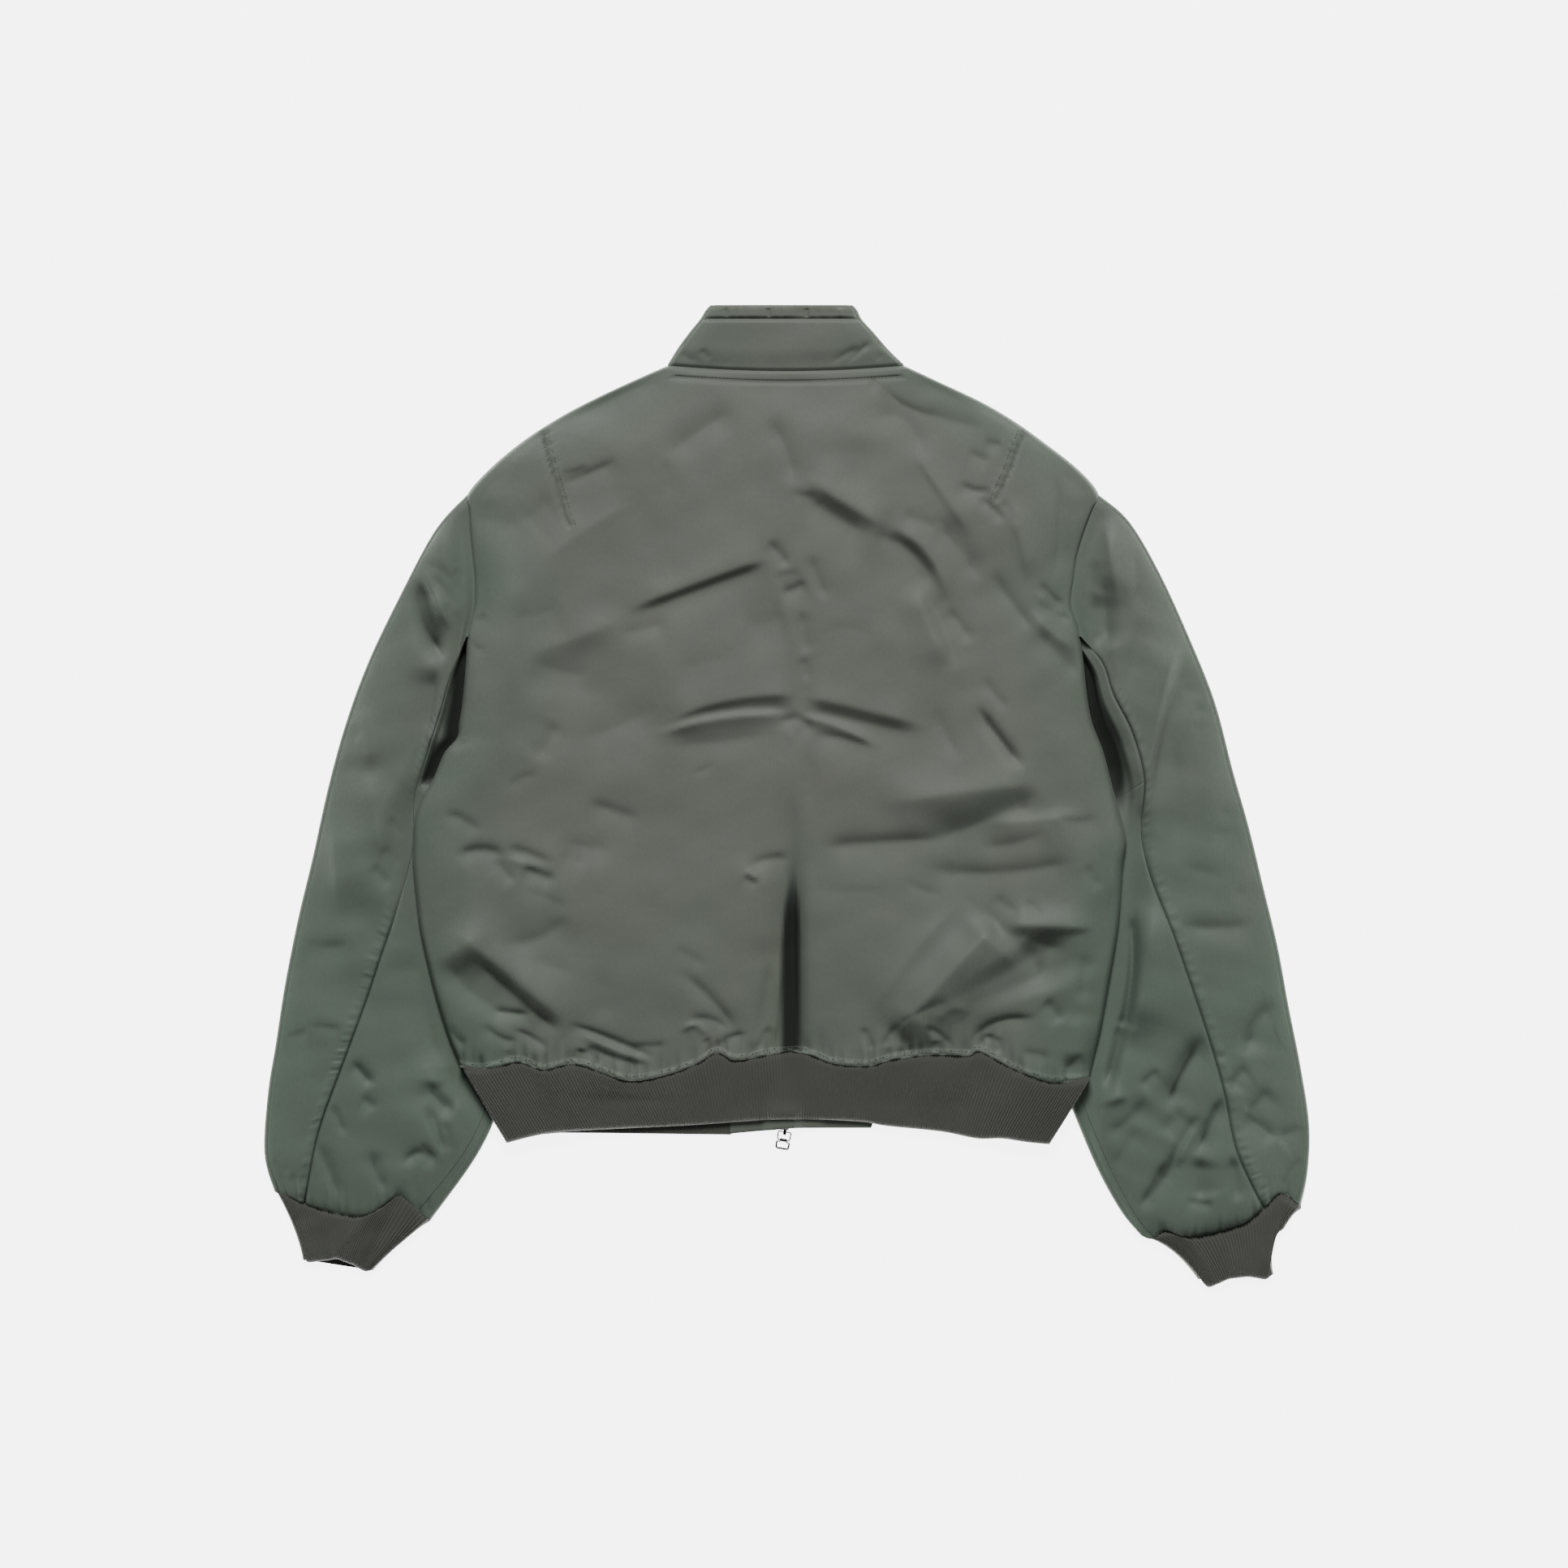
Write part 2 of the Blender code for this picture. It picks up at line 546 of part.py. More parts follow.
def sleeve_crest(side, w, v):
    """The height of a sleeve's upper side: full where it shows, low where the body lies on it."""
    x, y = sleeve_plan(side, w, v)
    width = sleeve_width(side, v)
    body_edge = look_up(BACK_EDGES, y, 1 if side < 0 else 2)
    outside = side * (x - body_edge)
    if y < HEM_REST:
        outside = side * (x - blend(body_edge, side * 247, smooth((HEM_REST - y) / 62)))
    if y < HEM_EDGE[0][1]:
        outside = max(outside, HEM_EDGE[0][1] - y)
    seen = smooth((outside - 17) / 32)
    rolled = swell((w * width - TUBE / 2) / 50) * swell(((1 - w) * width - TUBE / 2) / 50)
    gathered = swell((1 - v) * 13 * 34 / 40)
    folds = LEFT_SLEEVE_FOLDS if side < 0 else RIGHT_SLEEVE_FOLDS
    own = TUBE + seen * rolled * gathered * (SLEEVE_PUFF + fold_height(folds, x, y))
    seam_w = back_seam_w(side, v)
    if w > seam_w + 1e-6:
        return own
    start_x, start_y = sleeve_plan(side, w * back_seam_w(side, 0) / seam_w, 0)
    joined = 1 - smooth(math.hypot(x - start_x, y - start_y) / 34)
    return blend(own, back_top(start_x - side * 0.5, start_y), joined * smooth(w * width / 12))


def make_sleeve(side, label, nylon):
    """Top sleeve, wrapped round both folds, and under sleeve and gusset between its back and front seams."""

    def point(station, v, depth):
        width = sleeve_width(side, v)
        return tube_point(
            lambda w, v, turn: sleeve_plan(side, w, v, turn), lambda w, v: sleeve_crest(side, w, v),
            width, station, v, depth,
        )

    def ring_side(depth):
        return lambda item, v: point((across_sleeve(side, item, v), item[2]), v, depth)

    ring = [("top", f, 90) for f in TOP_ACROSS[::-1]]
    ring += [("whole", 0.0, turn) for turn in FOLD_TURNS]
    ring += [("whole", armhole_w(y), -90) for y in ARMHOLE_ROWS[1:-1]]
    ring += [("whole", 1.0, turn) for turn in FOLD_TURNS[::-1]]
    ring += [("front", f, 90) for f in (1, 0)]
    lengths = [SLEEVE_START, *spread(SLEEVE_ROWS)[1:-1], 0.965, 1.0]
    build_wall(f"sleeve_top_{label}", ring, lengths[::-1], ring_side(0.0), ring_side(WALL), nylon)

    across = [("under", f, 90) for f in UNDER_ACROSS]
    parts = (
        (f"gusset_{label}", [v for v in lengths if v < GUSSET_END - 0.01] + [GUSSET_END - 0.0004]),
        (f"sleeve_under_{label}", [GUSSET_END + 0.0004] + [v for v in lengths if v > GUSSET_END + 0.01]),
    )
    for name, rows in parts:
        build_wall(name, across, rows[::-1], ring_side(0.0), ring_side(WALL), nylon)


def armhole_w(y):
    """The place across the sleeve of a height on the armhole seam."""
    back = back_seam_w(-1, 0)
    if y > BACK_SEAM_TOP:
        return back * (ARMHOLE_TOP - y) / (ARMHOLE_TOP - BACK_SEAM_TOP)
    return blend(back, 1.0, (BACK_SEAM_TOP - y) / (BACK_SEAM_TOP - UNDERARM))


def across_sleeve(side, item, v):
    """The place across a sleeve of a station, given as a share of the piece that it is on."""
    piece, share, _ = item
    width = sleeve_width(side, v)
    back = back_seam_w(side, v)
    front = 1 - FRONT_SEAM / width
    gap = SEAM / 2 / width
    fold = TUBE / 2 / width
    if piece == "top":
        return blend(fold, back - gap, share)
    if piece == "under":
        return blend(back + gap, front - gap, share)
    if piece == "front":
        return blend(front + gap, 1 - fold, share)
    return share


def cuff_seam(side):
    """The sleeve's edge at the cuff, as the straight lines between its stations: w, x, y."""
    items = [("top", f, 90) for f in TOP_ACROSS]
    items += [("under", f, 90) for f in UNDER_ACROSS]
    items += [("front", 1, 90)]
    places = [0.0, *[across_sleeve(side, item, 1.0) for item in items], 1.0]
    return [(w, *sleeve_plan(side, w, 1.0)) for w in places]


def make_cuff(side, label, knit):
    """A knitted strip closed into a flat tube by a seam below, its ribs raised on the side that is up."""
    seam_a, seam_b = Vector(CUFFS[side][0:2]), Vector(CUFFS[side][2:4])
    free_a, free_b = Vector(CUFFS[side][4:6]), Vector(CUFFS[side][6:8])
    edge = cuff_seam(side)

    def plan(w, v, turn=90):
        sleeve_w = blend(0.05, 0.985, w)
        if turn > 0:
            top = Vector((look_up(edge, sleeve_w, 1), look_up(edge, sleeve_w, 2) - 5 * SEAM))
        else:
            top = Vector(sleeve_plan(side, sleeve_w, 1.0, turn)) - Vector((0, 8 * SEAM))
        low = free_a.lerp(free_b, w)
        x, y = blend(top.x, low.x, v), blend(top.y, low.y, v)
        middle = 0.5 * (blend(seam_a.x, free_a.x, v) + blend(seam_b.x, free_b.x, v))
        return x + (middle - x) * CUFF_WAIST / 60 * 4 * v * (1 - v), y

    def point(station, v, depth):
        width = (Vector(plan(0, v)) - Vector(plan(1, v))).length
        place = tube_point(plan, lambda w, v: TUBE, width, station[:2], v, depth)
        if depth == 0.0 and station[2]:
            place.z -= RIB_HEIGHT
        return place

    gap = SEAM / 2 / 60
    ring = [(CUFF_SEAM + gap, -90, False), *[(1.0, turn, False) for turn in FOLD_TURNS[::-1]]]
    ring += [(i / (2 * CUFF_RIBS), 90, i % 2 == 0) for i in range(2 * CUFF_RIBS - 2, 1, -1)]
    ring += [(0.0, turn, False) for turn in FOLD_TURNS]
    ring += [(w, -90, False) for w in (0.3, 0.6, CUFF_SEAM - gap)]
    build_wall(
        f"cuff_{label}", ring, [1.0, 0.94, 0.5, 0.0],
        lambda station, v: point(station, v, 0.0),
        lambda station, v: point(station, v, KNIT), knit,
    )


# ---- collar -------------------------------------------------------------------------------------


def make_collar(nylon):
    """One strip round the neck: over the back from fold to fold, and under it to the zip on each side."""
    middle = FRONT_MIDDLE[1]
    gap = FRONT_EDGE_GAP / 2

    def edges(y):
        return look_up(COLLAR_ROWS, y, 1), look_up(COLLAR_ROWS, y, 2)

    def plan(w, y, turn=90):
        left, right = edges(y)
        x = blend(left, right, w)
        sag = NECK_SAG * 4 * w * (1 - w) * (1 - smooth((y - 382) / 40))
        return x, y - sag + SEAM * (1 - smooth((y - 382) / 10))

    def crest(w, y):
        x, _ = plan(w, y)
        left, right = edges(y)
        puff = 2.6 * swell(min(x - left, right - x) / 24)
        stitched = 1 - math.exp(-(((y - COLLAR_STITCH) / 3.5) ** 2))
        up = swell((436.5 - y) / 8) * blend(0.35, 1.0, stitched)
        join = smooth((y - 382) / 18)
        seam_top = back_top(min(max(x, -100), 97), 382)
        return blend(seam_top, TUBE + puff * up, join)

    def front_place(w, y):
        left, right = edges(y)
        x = blend(left, middle - gap, w / 0.5) if w < 0.5 else blend(middle + gap, right, (w - 0.5) / 0.5)
        along = (y - 382) / (COLLAR_ROWS[-1][0] - 382)
        return x, blend(front_neck_y(x), plan((x - left) / (right - left), COLLAR_ROWS[-1][0])[1], along)

    def point(item, y, depth):
        kind, w, turn = item
        left, right = edges(y)
        width = right - left
        if kind == "under":
            inset = TUBE / 2 / width
            x, low = front_place(min(max(w, inset), 1 - inset), y)
            return Vector((x, low, depth))
        return tube_point(plan, crest, width, (w, turn), y, depth)

    ring = [("under", w, -90) for w in (0.4999, 0.3, 0.14, 0.0)]
    ring += [("fold", 0.0, turn) for turn in FOLD_TURNS[2::-1]]
    ring += [("top", w, 90) for w in (0.0, 0.05, 0.14, 0.3, 0.5, 0.7, 0.86, 0.95, 1.0)]
    ring += [("fold", 1.0, turn) for turn in FOLD_TURNS[:3]]
    ring += [("under", w, -90) for w in (1.0, 0.86, 0.7, 0.5001)]
    rows = [382, 388, 396, 408, 418, 423, 428, 432, 435.5]
    build_wall(
        "collar", ring, rows,
        lambda item, y: point(item, y, 0.0),
        lambda item, y: point(item, y, WALL), nylon,
    )


# ---- zip ----------------------------------------------------------------------------------------


def make_zip(tape, metal):
    low = SLIDER_MIDDLE[1] + SLIDER_SIZE[1] / 2 + 1.0
    high = 382 - FRONT_NECK_DROP - 2.0

    def plan(u, v):
        y = blend(low, high, v)
        return zip_x(y) + (u - 0.5) * TAPE_WIDTH, y

    layer_wall("zip_tape", [0, 1], [0, 1], plan, lambda x, y: TAPE_THICK, lambda x, y: 0.0, tape)

    mesh = bmesh.new()
    bmesh.ops.create_cube(mesh, size=1.0)
    bmesh.ops.scale(mesh, vec=SLIDER_SIZE, verts=mesh.verts)
    bmesh.ops.bevel(
        mesh, geom=mesh.edges[:], offset=0.6, segments=1, profile=0.5, affect="EDGES", material=-1,
    )
    middle = Vector((*SLIDER_MIDDLE, SLIDER_FLOOR + SLIDER_SIZE[2] / 2))
    bmesh.ops.translate(mesh, vec=middle, verts=mesh.verts)
    slider = add_object("zip_slider", mesh, metal)

    crown = bmesh.new()
    reach, rise, thick = 2.6, 2.9, 0.8
    profile = (
        (-reach, rise), (-reach, 0.5), (-reach + 0.5, 0), (reach - 0.5, 0), (reach, 0.5), (reach, rise),
        (reach - thick, rise), (reach - thick, thick), (-reach + thick, thick), (-reach + thick, rise),
    )
    face = crown.faces.new([crown.verts.new((-1.4, y, z)) for y, z in profile])
    grown = bmesh.ops.extrude_face_region(crown, geom=[face])["geom"]
    moved = [item for item in grown if isinstance(item, bmesh.types.BMVert)]
    bmesh.ops.translate(crown, vec=(2.8, 0, 0), verts=moved)
    bmesh.ops.rotate(crown, matrix=Matrix.Rotation(PULL_TURN, 3, "Z"), verts=crown.verts)
    bmesh.ops.translate(crown, vec=(BAIL_AXIS[0], BAIL_AXIS[1], 0.05), verts=crown.verts)
    bridge = add_object("slider_crown", crown, metal)
    join_into(slider, bridge)


def join_into(obj, other):
    """Unites a second closed shape with the object and drops the second."""
    union = obj.modifiers.new("Union", "BOOLEAN")
    union.operation = "UNION"
    union.solver = "EXACT"
    union.object = other
    other.hide_render = True
    other.display_type = "WIRE"


def wire_object(name, points, closed, metal):
    """Round wire along the points, made into a mesh."""
    curve = bpy.data.curves.new(name, "CURVE")
    curve.dimensions = "3D"
    curve.bevel_depth = WIRE * MM
    curve.bevel_resolution = 2
    curve.use_fill_caps = not closed
    spline = curve.splines.new("POLY")
    spline.points.add(len(points) - 1)
    for point, place in zip(spline.points, points):
        point.co = (*(Vector(place) * MM), 1.0)
    spline.use_cyclic_u = closed
    curve.materials.append(metal)
    guide = bpy.data.objects.new(name + "_guide", curve)
    bpy.context.scene.collection.objects.link(guide)
    graph = bpy.context.evaluated_depsgraph_get()
    data = bpy.data.meshes.new_from_object(guide.evaluated_get(graph))
    bpy.data.objects.remove(guide)
    obj = bpy.data.objects.new(name, data)
    bpy.context.scene.collection.objects.link(obj)
    return obj


def rounded(corners, radius, closed=True):
    """Points of a flat outline whose corners are rounded with three points each."""
    points = []
    count = len(corners)
    for i, corner in enumerate(corners):
        here = Vector(corner)
        if not closed and i in (0, count - 1):
            points.append((here.x, here.y, 0.0))
            continue
        before = (Vector(corners[i - 1]) - here).normalized()
        after = (Vector(corners[(i + 1) % count]) - here).normalized()
        start, end = here + before * radius, here + after * radius
        for t in (0.0, 0.5, 1.0):
            bend = start.lerp(here, t).lerp(here.lerp(end, t), t)
            points.append((bend.x, bend.y, 0.0))
    return points


def make_bail(metal):
    """The wire link that hangs in the slider's crown. Its origin is on its hinge."""
    wide, narrow, length = BAIL_SIZE
    corners = ((-wide / 2, 0), (wide / 2, 0), (narrow / 2, -length), (-narrow / 2, -length))
    bail = wire_object("pull_bail", rounded(corners, 1.1), True, metal)
    place = Matrix.Translation((Vector(BAIL_AXIS) - MIDDLE) * MM) @ Matrix.Rotation(PULL_TURN, 4, "Z")
    bail.matrix_world = place @ Matrix.Rotation(BAIL_DROP, 4, "X")
    return bail


def make_ring(metal, bail):
    """The finger ring: a rolled barrel round the bail's lower bar, and a loop of wire from its ends."""
    bore, outside, barrel_length = BARREL
    half = barrel_length / 2
    mesh = bmesh.new()
    profile = [
        mesh.verts.new(place)
        for place in ((-half, 0, bore), (half, 0, bore), (half, 0, outside), (-half, 0, outside))
    ]
    edges = [mesh.edges.new((profile[i], profile[(i + 1) % 4])) for i in range(4)]
    bmesh.ops.spin(
        mesh, geom=[*profile, *edges], cent=(0, 0, 0), axis=(1, 0, 0), angle=math.tau, steps=16,
        use_merge=True,
    )
    bmesh.ops.remove_doubles(mesh, verts=mesh.verts, dist=1e-5)
    ring = add_object("pull_ring", mesh, metal)

    wide, length = RING_SIZE
    shoulder = bore + WIRE + 0.04
    corners = (
        (-half + 0.7, -shoulder), (-wide / 2, -shoulder), (-wide / 2 + 0.4, -length),
        (wide / 2 - 0.4, -length), (wide / 2, -shoulder), (half - 0.7, -shoulder),
    )
    loop = wire_object("ring_loop", rounded(corners, 1.2, closed=False), False, metal)
    lift = math.asin((RING_AXIS_HEIGHT - WIRE - 0.05) / length) - BAIL_DROP
    hinge = Matrix.Translation(Vector((0, -BAIL_SIZE[2], 0)) * MM)
    ring.matrix_world = bail.matrix_world @ hinge @ Matrix.Rotation(lift, 4, "X")
    loop.matrix_world = ring.matrix_world
    join_into(ring, loop)


def main():
    clear_scene()
    nylon = make_material("nylon", (0.130, 0.145, 0.120), 0.42)
    knit = make_material("rib_knit", (0.068, 0.070, 0.058), 0.9)
    tape = make_material("zip_tape", (0.060, 0.066, 0.052), 0.8)
    metal = make_material("dark_metal", (0.09, 0.09, 0.095), 0.35, 1.0)
    make_back(nylon)
    make_fronts(nylon)
    make_plackets(nylon)
    make_back_welt(knit)
    make_front_welts(knit)
    for side, label in ((-1, "left"), (1, "right")):
        make_sleeve(side, label, nylon)
        make_cuff(side, label, knit)
    make_collar(nylon)
    make_zip(tape, metal)
    make_ring(metal, make_bail(metal))


main()
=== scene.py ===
# %% [markdown]
# # A bomber jacket, laid flat
# The jacket lies on a table with its back up and its sleeves down beside the body. It is sewn
# from a dozen nylon panels, with knitted welts at the hem and the cuffs and a zip down the front,
# which is underneath. Cloth that lies like this is nearly a height map: every panel has an
# outline, a resting height and folds. So the lesson keeps outlines and folds in short tables, and
# one builder turns each panel into a mesh.

# %% Setup
import math
from functools import partial

import bmesh
import bpy
import numpy as np
from mathutils import Matrix, Vector


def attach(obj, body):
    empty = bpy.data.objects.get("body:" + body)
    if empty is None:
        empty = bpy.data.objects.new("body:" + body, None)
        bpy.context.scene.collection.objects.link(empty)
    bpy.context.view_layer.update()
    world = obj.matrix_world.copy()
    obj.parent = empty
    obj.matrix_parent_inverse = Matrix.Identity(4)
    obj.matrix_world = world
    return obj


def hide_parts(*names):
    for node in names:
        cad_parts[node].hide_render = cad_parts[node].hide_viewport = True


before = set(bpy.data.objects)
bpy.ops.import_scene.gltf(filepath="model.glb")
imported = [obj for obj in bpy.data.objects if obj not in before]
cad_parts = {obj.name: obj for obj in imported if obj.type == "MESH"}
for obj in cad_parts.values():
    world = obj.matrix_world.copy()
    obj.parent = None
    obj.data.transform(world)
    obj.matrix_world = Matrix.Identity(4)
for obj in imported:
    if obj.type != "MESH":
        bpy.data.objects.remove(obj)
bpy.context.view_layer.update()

# %% [markdown]
# ## Sizes
# All tables are in millimetres: +X is the wearer's right, +Y runs up to the collar and +Z up from
# the table. MIDDLE moves the tables' zero to the middle of the jacket. A padded nylon wall is 3
# mm thick, and so is the doubled knit. Where the body lies on a sleeve, it is lifted by TUCK.

# %% Sizes
MM = 0.001
MIDDLE = np.array((-0.607, 0.259, 0.0))
WALL, KNIT, SEAM, CLEAR = 3.0, 3.0, 0.3, 0.9
TUBE, TUCK, RAMP = 7.4, 8.2, 95.0
BODY_PUFF, SLEEVE_PUFF = 9.5, 9.0
HEM_LIFT, HEM_PUFF_RUN, NECK_PUFF_RUN, EDGE_RUN = 5.5, 90.0, 140.0, 46.0
ARMHOLE_TOP, BACK_SEAM_TOP, HEM_REST = 268.0, 142.0, -240.0
NECK_Y, NECK_SAG, FRONT_NECK_DROP, COLLAR_STITCH = 382.0, 5.0, 46.0, 423.0
NECK_ENDS, NECK_SAG_RUN, HEM_RUN = (-100, 97), 52.0, 60.0
PLACKET_SIDES, FRONT_EDGE_GAP, FRONT_MIDDLE = (-51.0, 74.0), 1.2, (6.0, -3.0)
SLIDER, ZIP_RISE, ZIP_RISE_RUN, TAPE_WIDTH, TAPE_THICK = (-3.0, -290.5), 6.1, 16.0, 28.0, 1.2
UNDERLAP = 3.0  # how far sewn edges run under the piece above, so that no gap shows
CREASE = 1.4  # 2 rounds the bottom of a fold fully, and 1 makes it a sharp crease
# painted shade in the creases: mm of summed depth where it starts, and its range
CREASE_SHADE_START, CREASE_SHADE_DEPTH = 5.0, 26.0  # mm of summed depth: where darkening starts, and its range
LEFT, RIGHT = -1, 1
LABEL, COLUMN = {LEFT: "left", RIGHT: "right"}, {LEFT: 1, RIGHT: 2}


def rounded(rows, steps=5):
    """The rows of a table with a smooth curve's rows put in between them."""
    rows = np.array(rows, float)
    padded = np.vstack((rows[:1], rows, rows[-1:]))
    a, b, c, d = padded[:-3], padded[1:-2], padded[2:-1], padded[3:]
    f = np.linspace(0, 1, steps, endpoint=False)[:, None, None]
    bend, twist = 2 * a - 5 * b + 4 * c - d, 3 * b - a - 3 * c + d
    curve = 0.5 * (2 * b + f * (c - a + f * (bend + f * twist)))
    return np.vstack((curve.transpose(1, 0, 2).reshape(-1, rows.shape[1]), rows[-1:]))


def at(table, place, column=1):
    """The value of a column of the table at places in its first column."""
    table = table[np.argsort(table[:, 0])]
    return np.interp(place, table[:, 0], table[:, column])


def sides(table, y):
    """Left and right x of an outline at y."""
    return at(table, y, 1), at(table, y, 2)

# %% [markdown]
# ## Outlines
# Each outline gives the left and right x at a height y, or the y of a line at an x. A smooth
# curve is put through the rows, so a table needs a row only where the outline really bends.

# %% Outlines
def inset(rows, amount):
    """Rows of y, left x and right x with both sides moved in."""
    return [(y, left + amount, right - amount) for y, left, right in rows]


BACK_ROWS = (
    (382, -107, 104), (368, -139, 134), (350, -177, 172), (333, -208, 201), (313, -238, 229),
    (290, -265, 258), (268, -284, 276), (252, -283, 270), (233, -282, 263), (213, -280, 257),
    (193, -278, 254), (170, -278, 251), (157, -281, 255), (142, -284, 259), (120, -285, 262),
    (85, -288, 266), (65, -291, 270), (52, -293, 275), (39, -304, 280), (16, -314, 286),
    (-3, -325, 291), (-21, -331, 296), (-40, -332, 300), (-63, -332, 297), (-93, -329, 295),
    (-123, -325, 292), (-170, -314, 284), (-201, -305, 278), (-221, -298, 272), (-240, -290, 267),
)
SHOULDER_ROWS, ARMHOLE_ROWS, LOW_ROWS = BACK_ROWS[:6], BACK_ROWS[6:14], BACK_ROWS[23:]
BACK_EDGES = rounded(BACK_ROWS)
FRONT_EDGES = rounded((
    *inset(SHOULDER_ROWS, 2), *inset(ARMHOLE_ROWS, 1), (120, -281, 256), (98, -268, 246),
    (83, -251, 235), (59, -248, 228), (30, -248, 227), (8, -262, 240), (-12, -300, 268),
    (-32, -322, 290), *inset(LOW_ROWS, 4),
))
SLEEVE_SIDES = rounded((
    *ARMHOLE_ROWS, (120, -282, 257), (98, -269, 247), (83, -252, 236), (59, -249, 229),
    (26, -249, 228), (-42, -250, 229), (-157, -249, 232), (-211, -249, 234), (-247, -251, 240),
    (-281, -258, 254), (-322, -278, 272), (-375, -316, 300),
))
ARMHOLE_LINE = [(right, y) for y, left, right in ARMHOLE_ROWS]  # the right one
# y isn't the first number here: x and y of the outer fold, of the back seam and of the inner fold
LEFT_SLEEVE = rounded((
    (-284, 268, -284, 142, -252, 83), (-313, 236, -298, 108, -250, 57),
    (-347, 172, -308, 73, -249, 26), (-373, 117, -319, 39, -249, -6),
    (-393, 62, -331, -3, -250, -42), (-409, 5, -332, -44, -250, -78),
    (-422, -53, -347, -103, -250, -121), (-435, -107, -359, -139, -249, -168),
    (-447, -167, -373, -181, -249, -211), (-455, -219, -388, -222, -251, -247),
    (-462, -262, -401, -257, -258, -281), (-465, -316, -417, -301, -278, -322),
    (-455, -350, -428, -355, -316, -375),
))
RIGHT_SLEEVE = rounded((
    (276, 268, 259, 142, 236, 83), (303, 244, 279, 118, 230, 55),
    (331, 196, 289, 89, 228, 26), (358, 136, 305, 57, 228, -6),
    (379, 83, 316, 14, 229, -42), (395, 24, 313, -31, 230, -78),
    (410, -28, 321, -70, 231, -114), (422, -78, 339, -116, 232, -157),
    (435, -132, 355, -161, 233, -202), (445, -186, 372, -212, 239, -244),
    (456, -240, 386, -260, 254, -281), (464, -291, 396, -309, 275, -330),
    (462, -334, 409, -342, 296, -368), (455, -363, 422, -368, 313, -389),
))
HEM_SEAM = rounded((
    (-290, -239), (-273, -242), (-256, -239), (-237, -235), (-216, -242), (-190, -237),
    (-164, -245), (-139, -252), (-108, -247), (-80, -237), (-63, -227), (-46, -234),
    (-12, -228), (4, -226), (20, -229), (41, -237), (71, -239), (93, -233),
    (129, -229), (160, -230), (170, -226), (201, -242), (234, -253), (267, -250),
))
HEM_EDGE = rounded((
    (-249, -307), (-226, -301), (-201, -297), (-141, -294), (-80, -291), (-38, -288), (1, -286),
    (63, -288), (87, -292), (136, -297), (167, -303), (190, -303), (211, -306), (232, -308),
))
FRONT_HEM = np.array((
    (-246, -302), (-202, -298), (-130, -299), (-51, -300), (-49, -299), (5, -294), (74, -294),
    (76, -289), (130, -292), (230, -303),
), float)
COLLAR_ROWS = rounded((
    (382, -107, 104), (397, -98, 89), (412, -87, 76), (423, -78, 66), (431, -73, 62),
    (435.5, -69, 58),
))

LEFT_DART = ((-219, 326), (-213, 300), (-208, 284), (-203, 267), (-198, 249), (-193, 239))
RIGHT_DART = ((211, 325), (205, 311), (198, 291), (191, 276), (185, 262))
print(len(BACK_EDGES), "rows down the back's edge")

# %% [markdown]
# ## Folds
# A row is one fold: x and y where it starts, where it passes and where it ends, then its width to
# the left and to the right of that direction and its height (a trough is negative). Two more
# numbers are the shares over which it fades in and out, where they aren't the usual FADES. Widths
# differ because cloth falls away more steeply on the side that faces the pull.

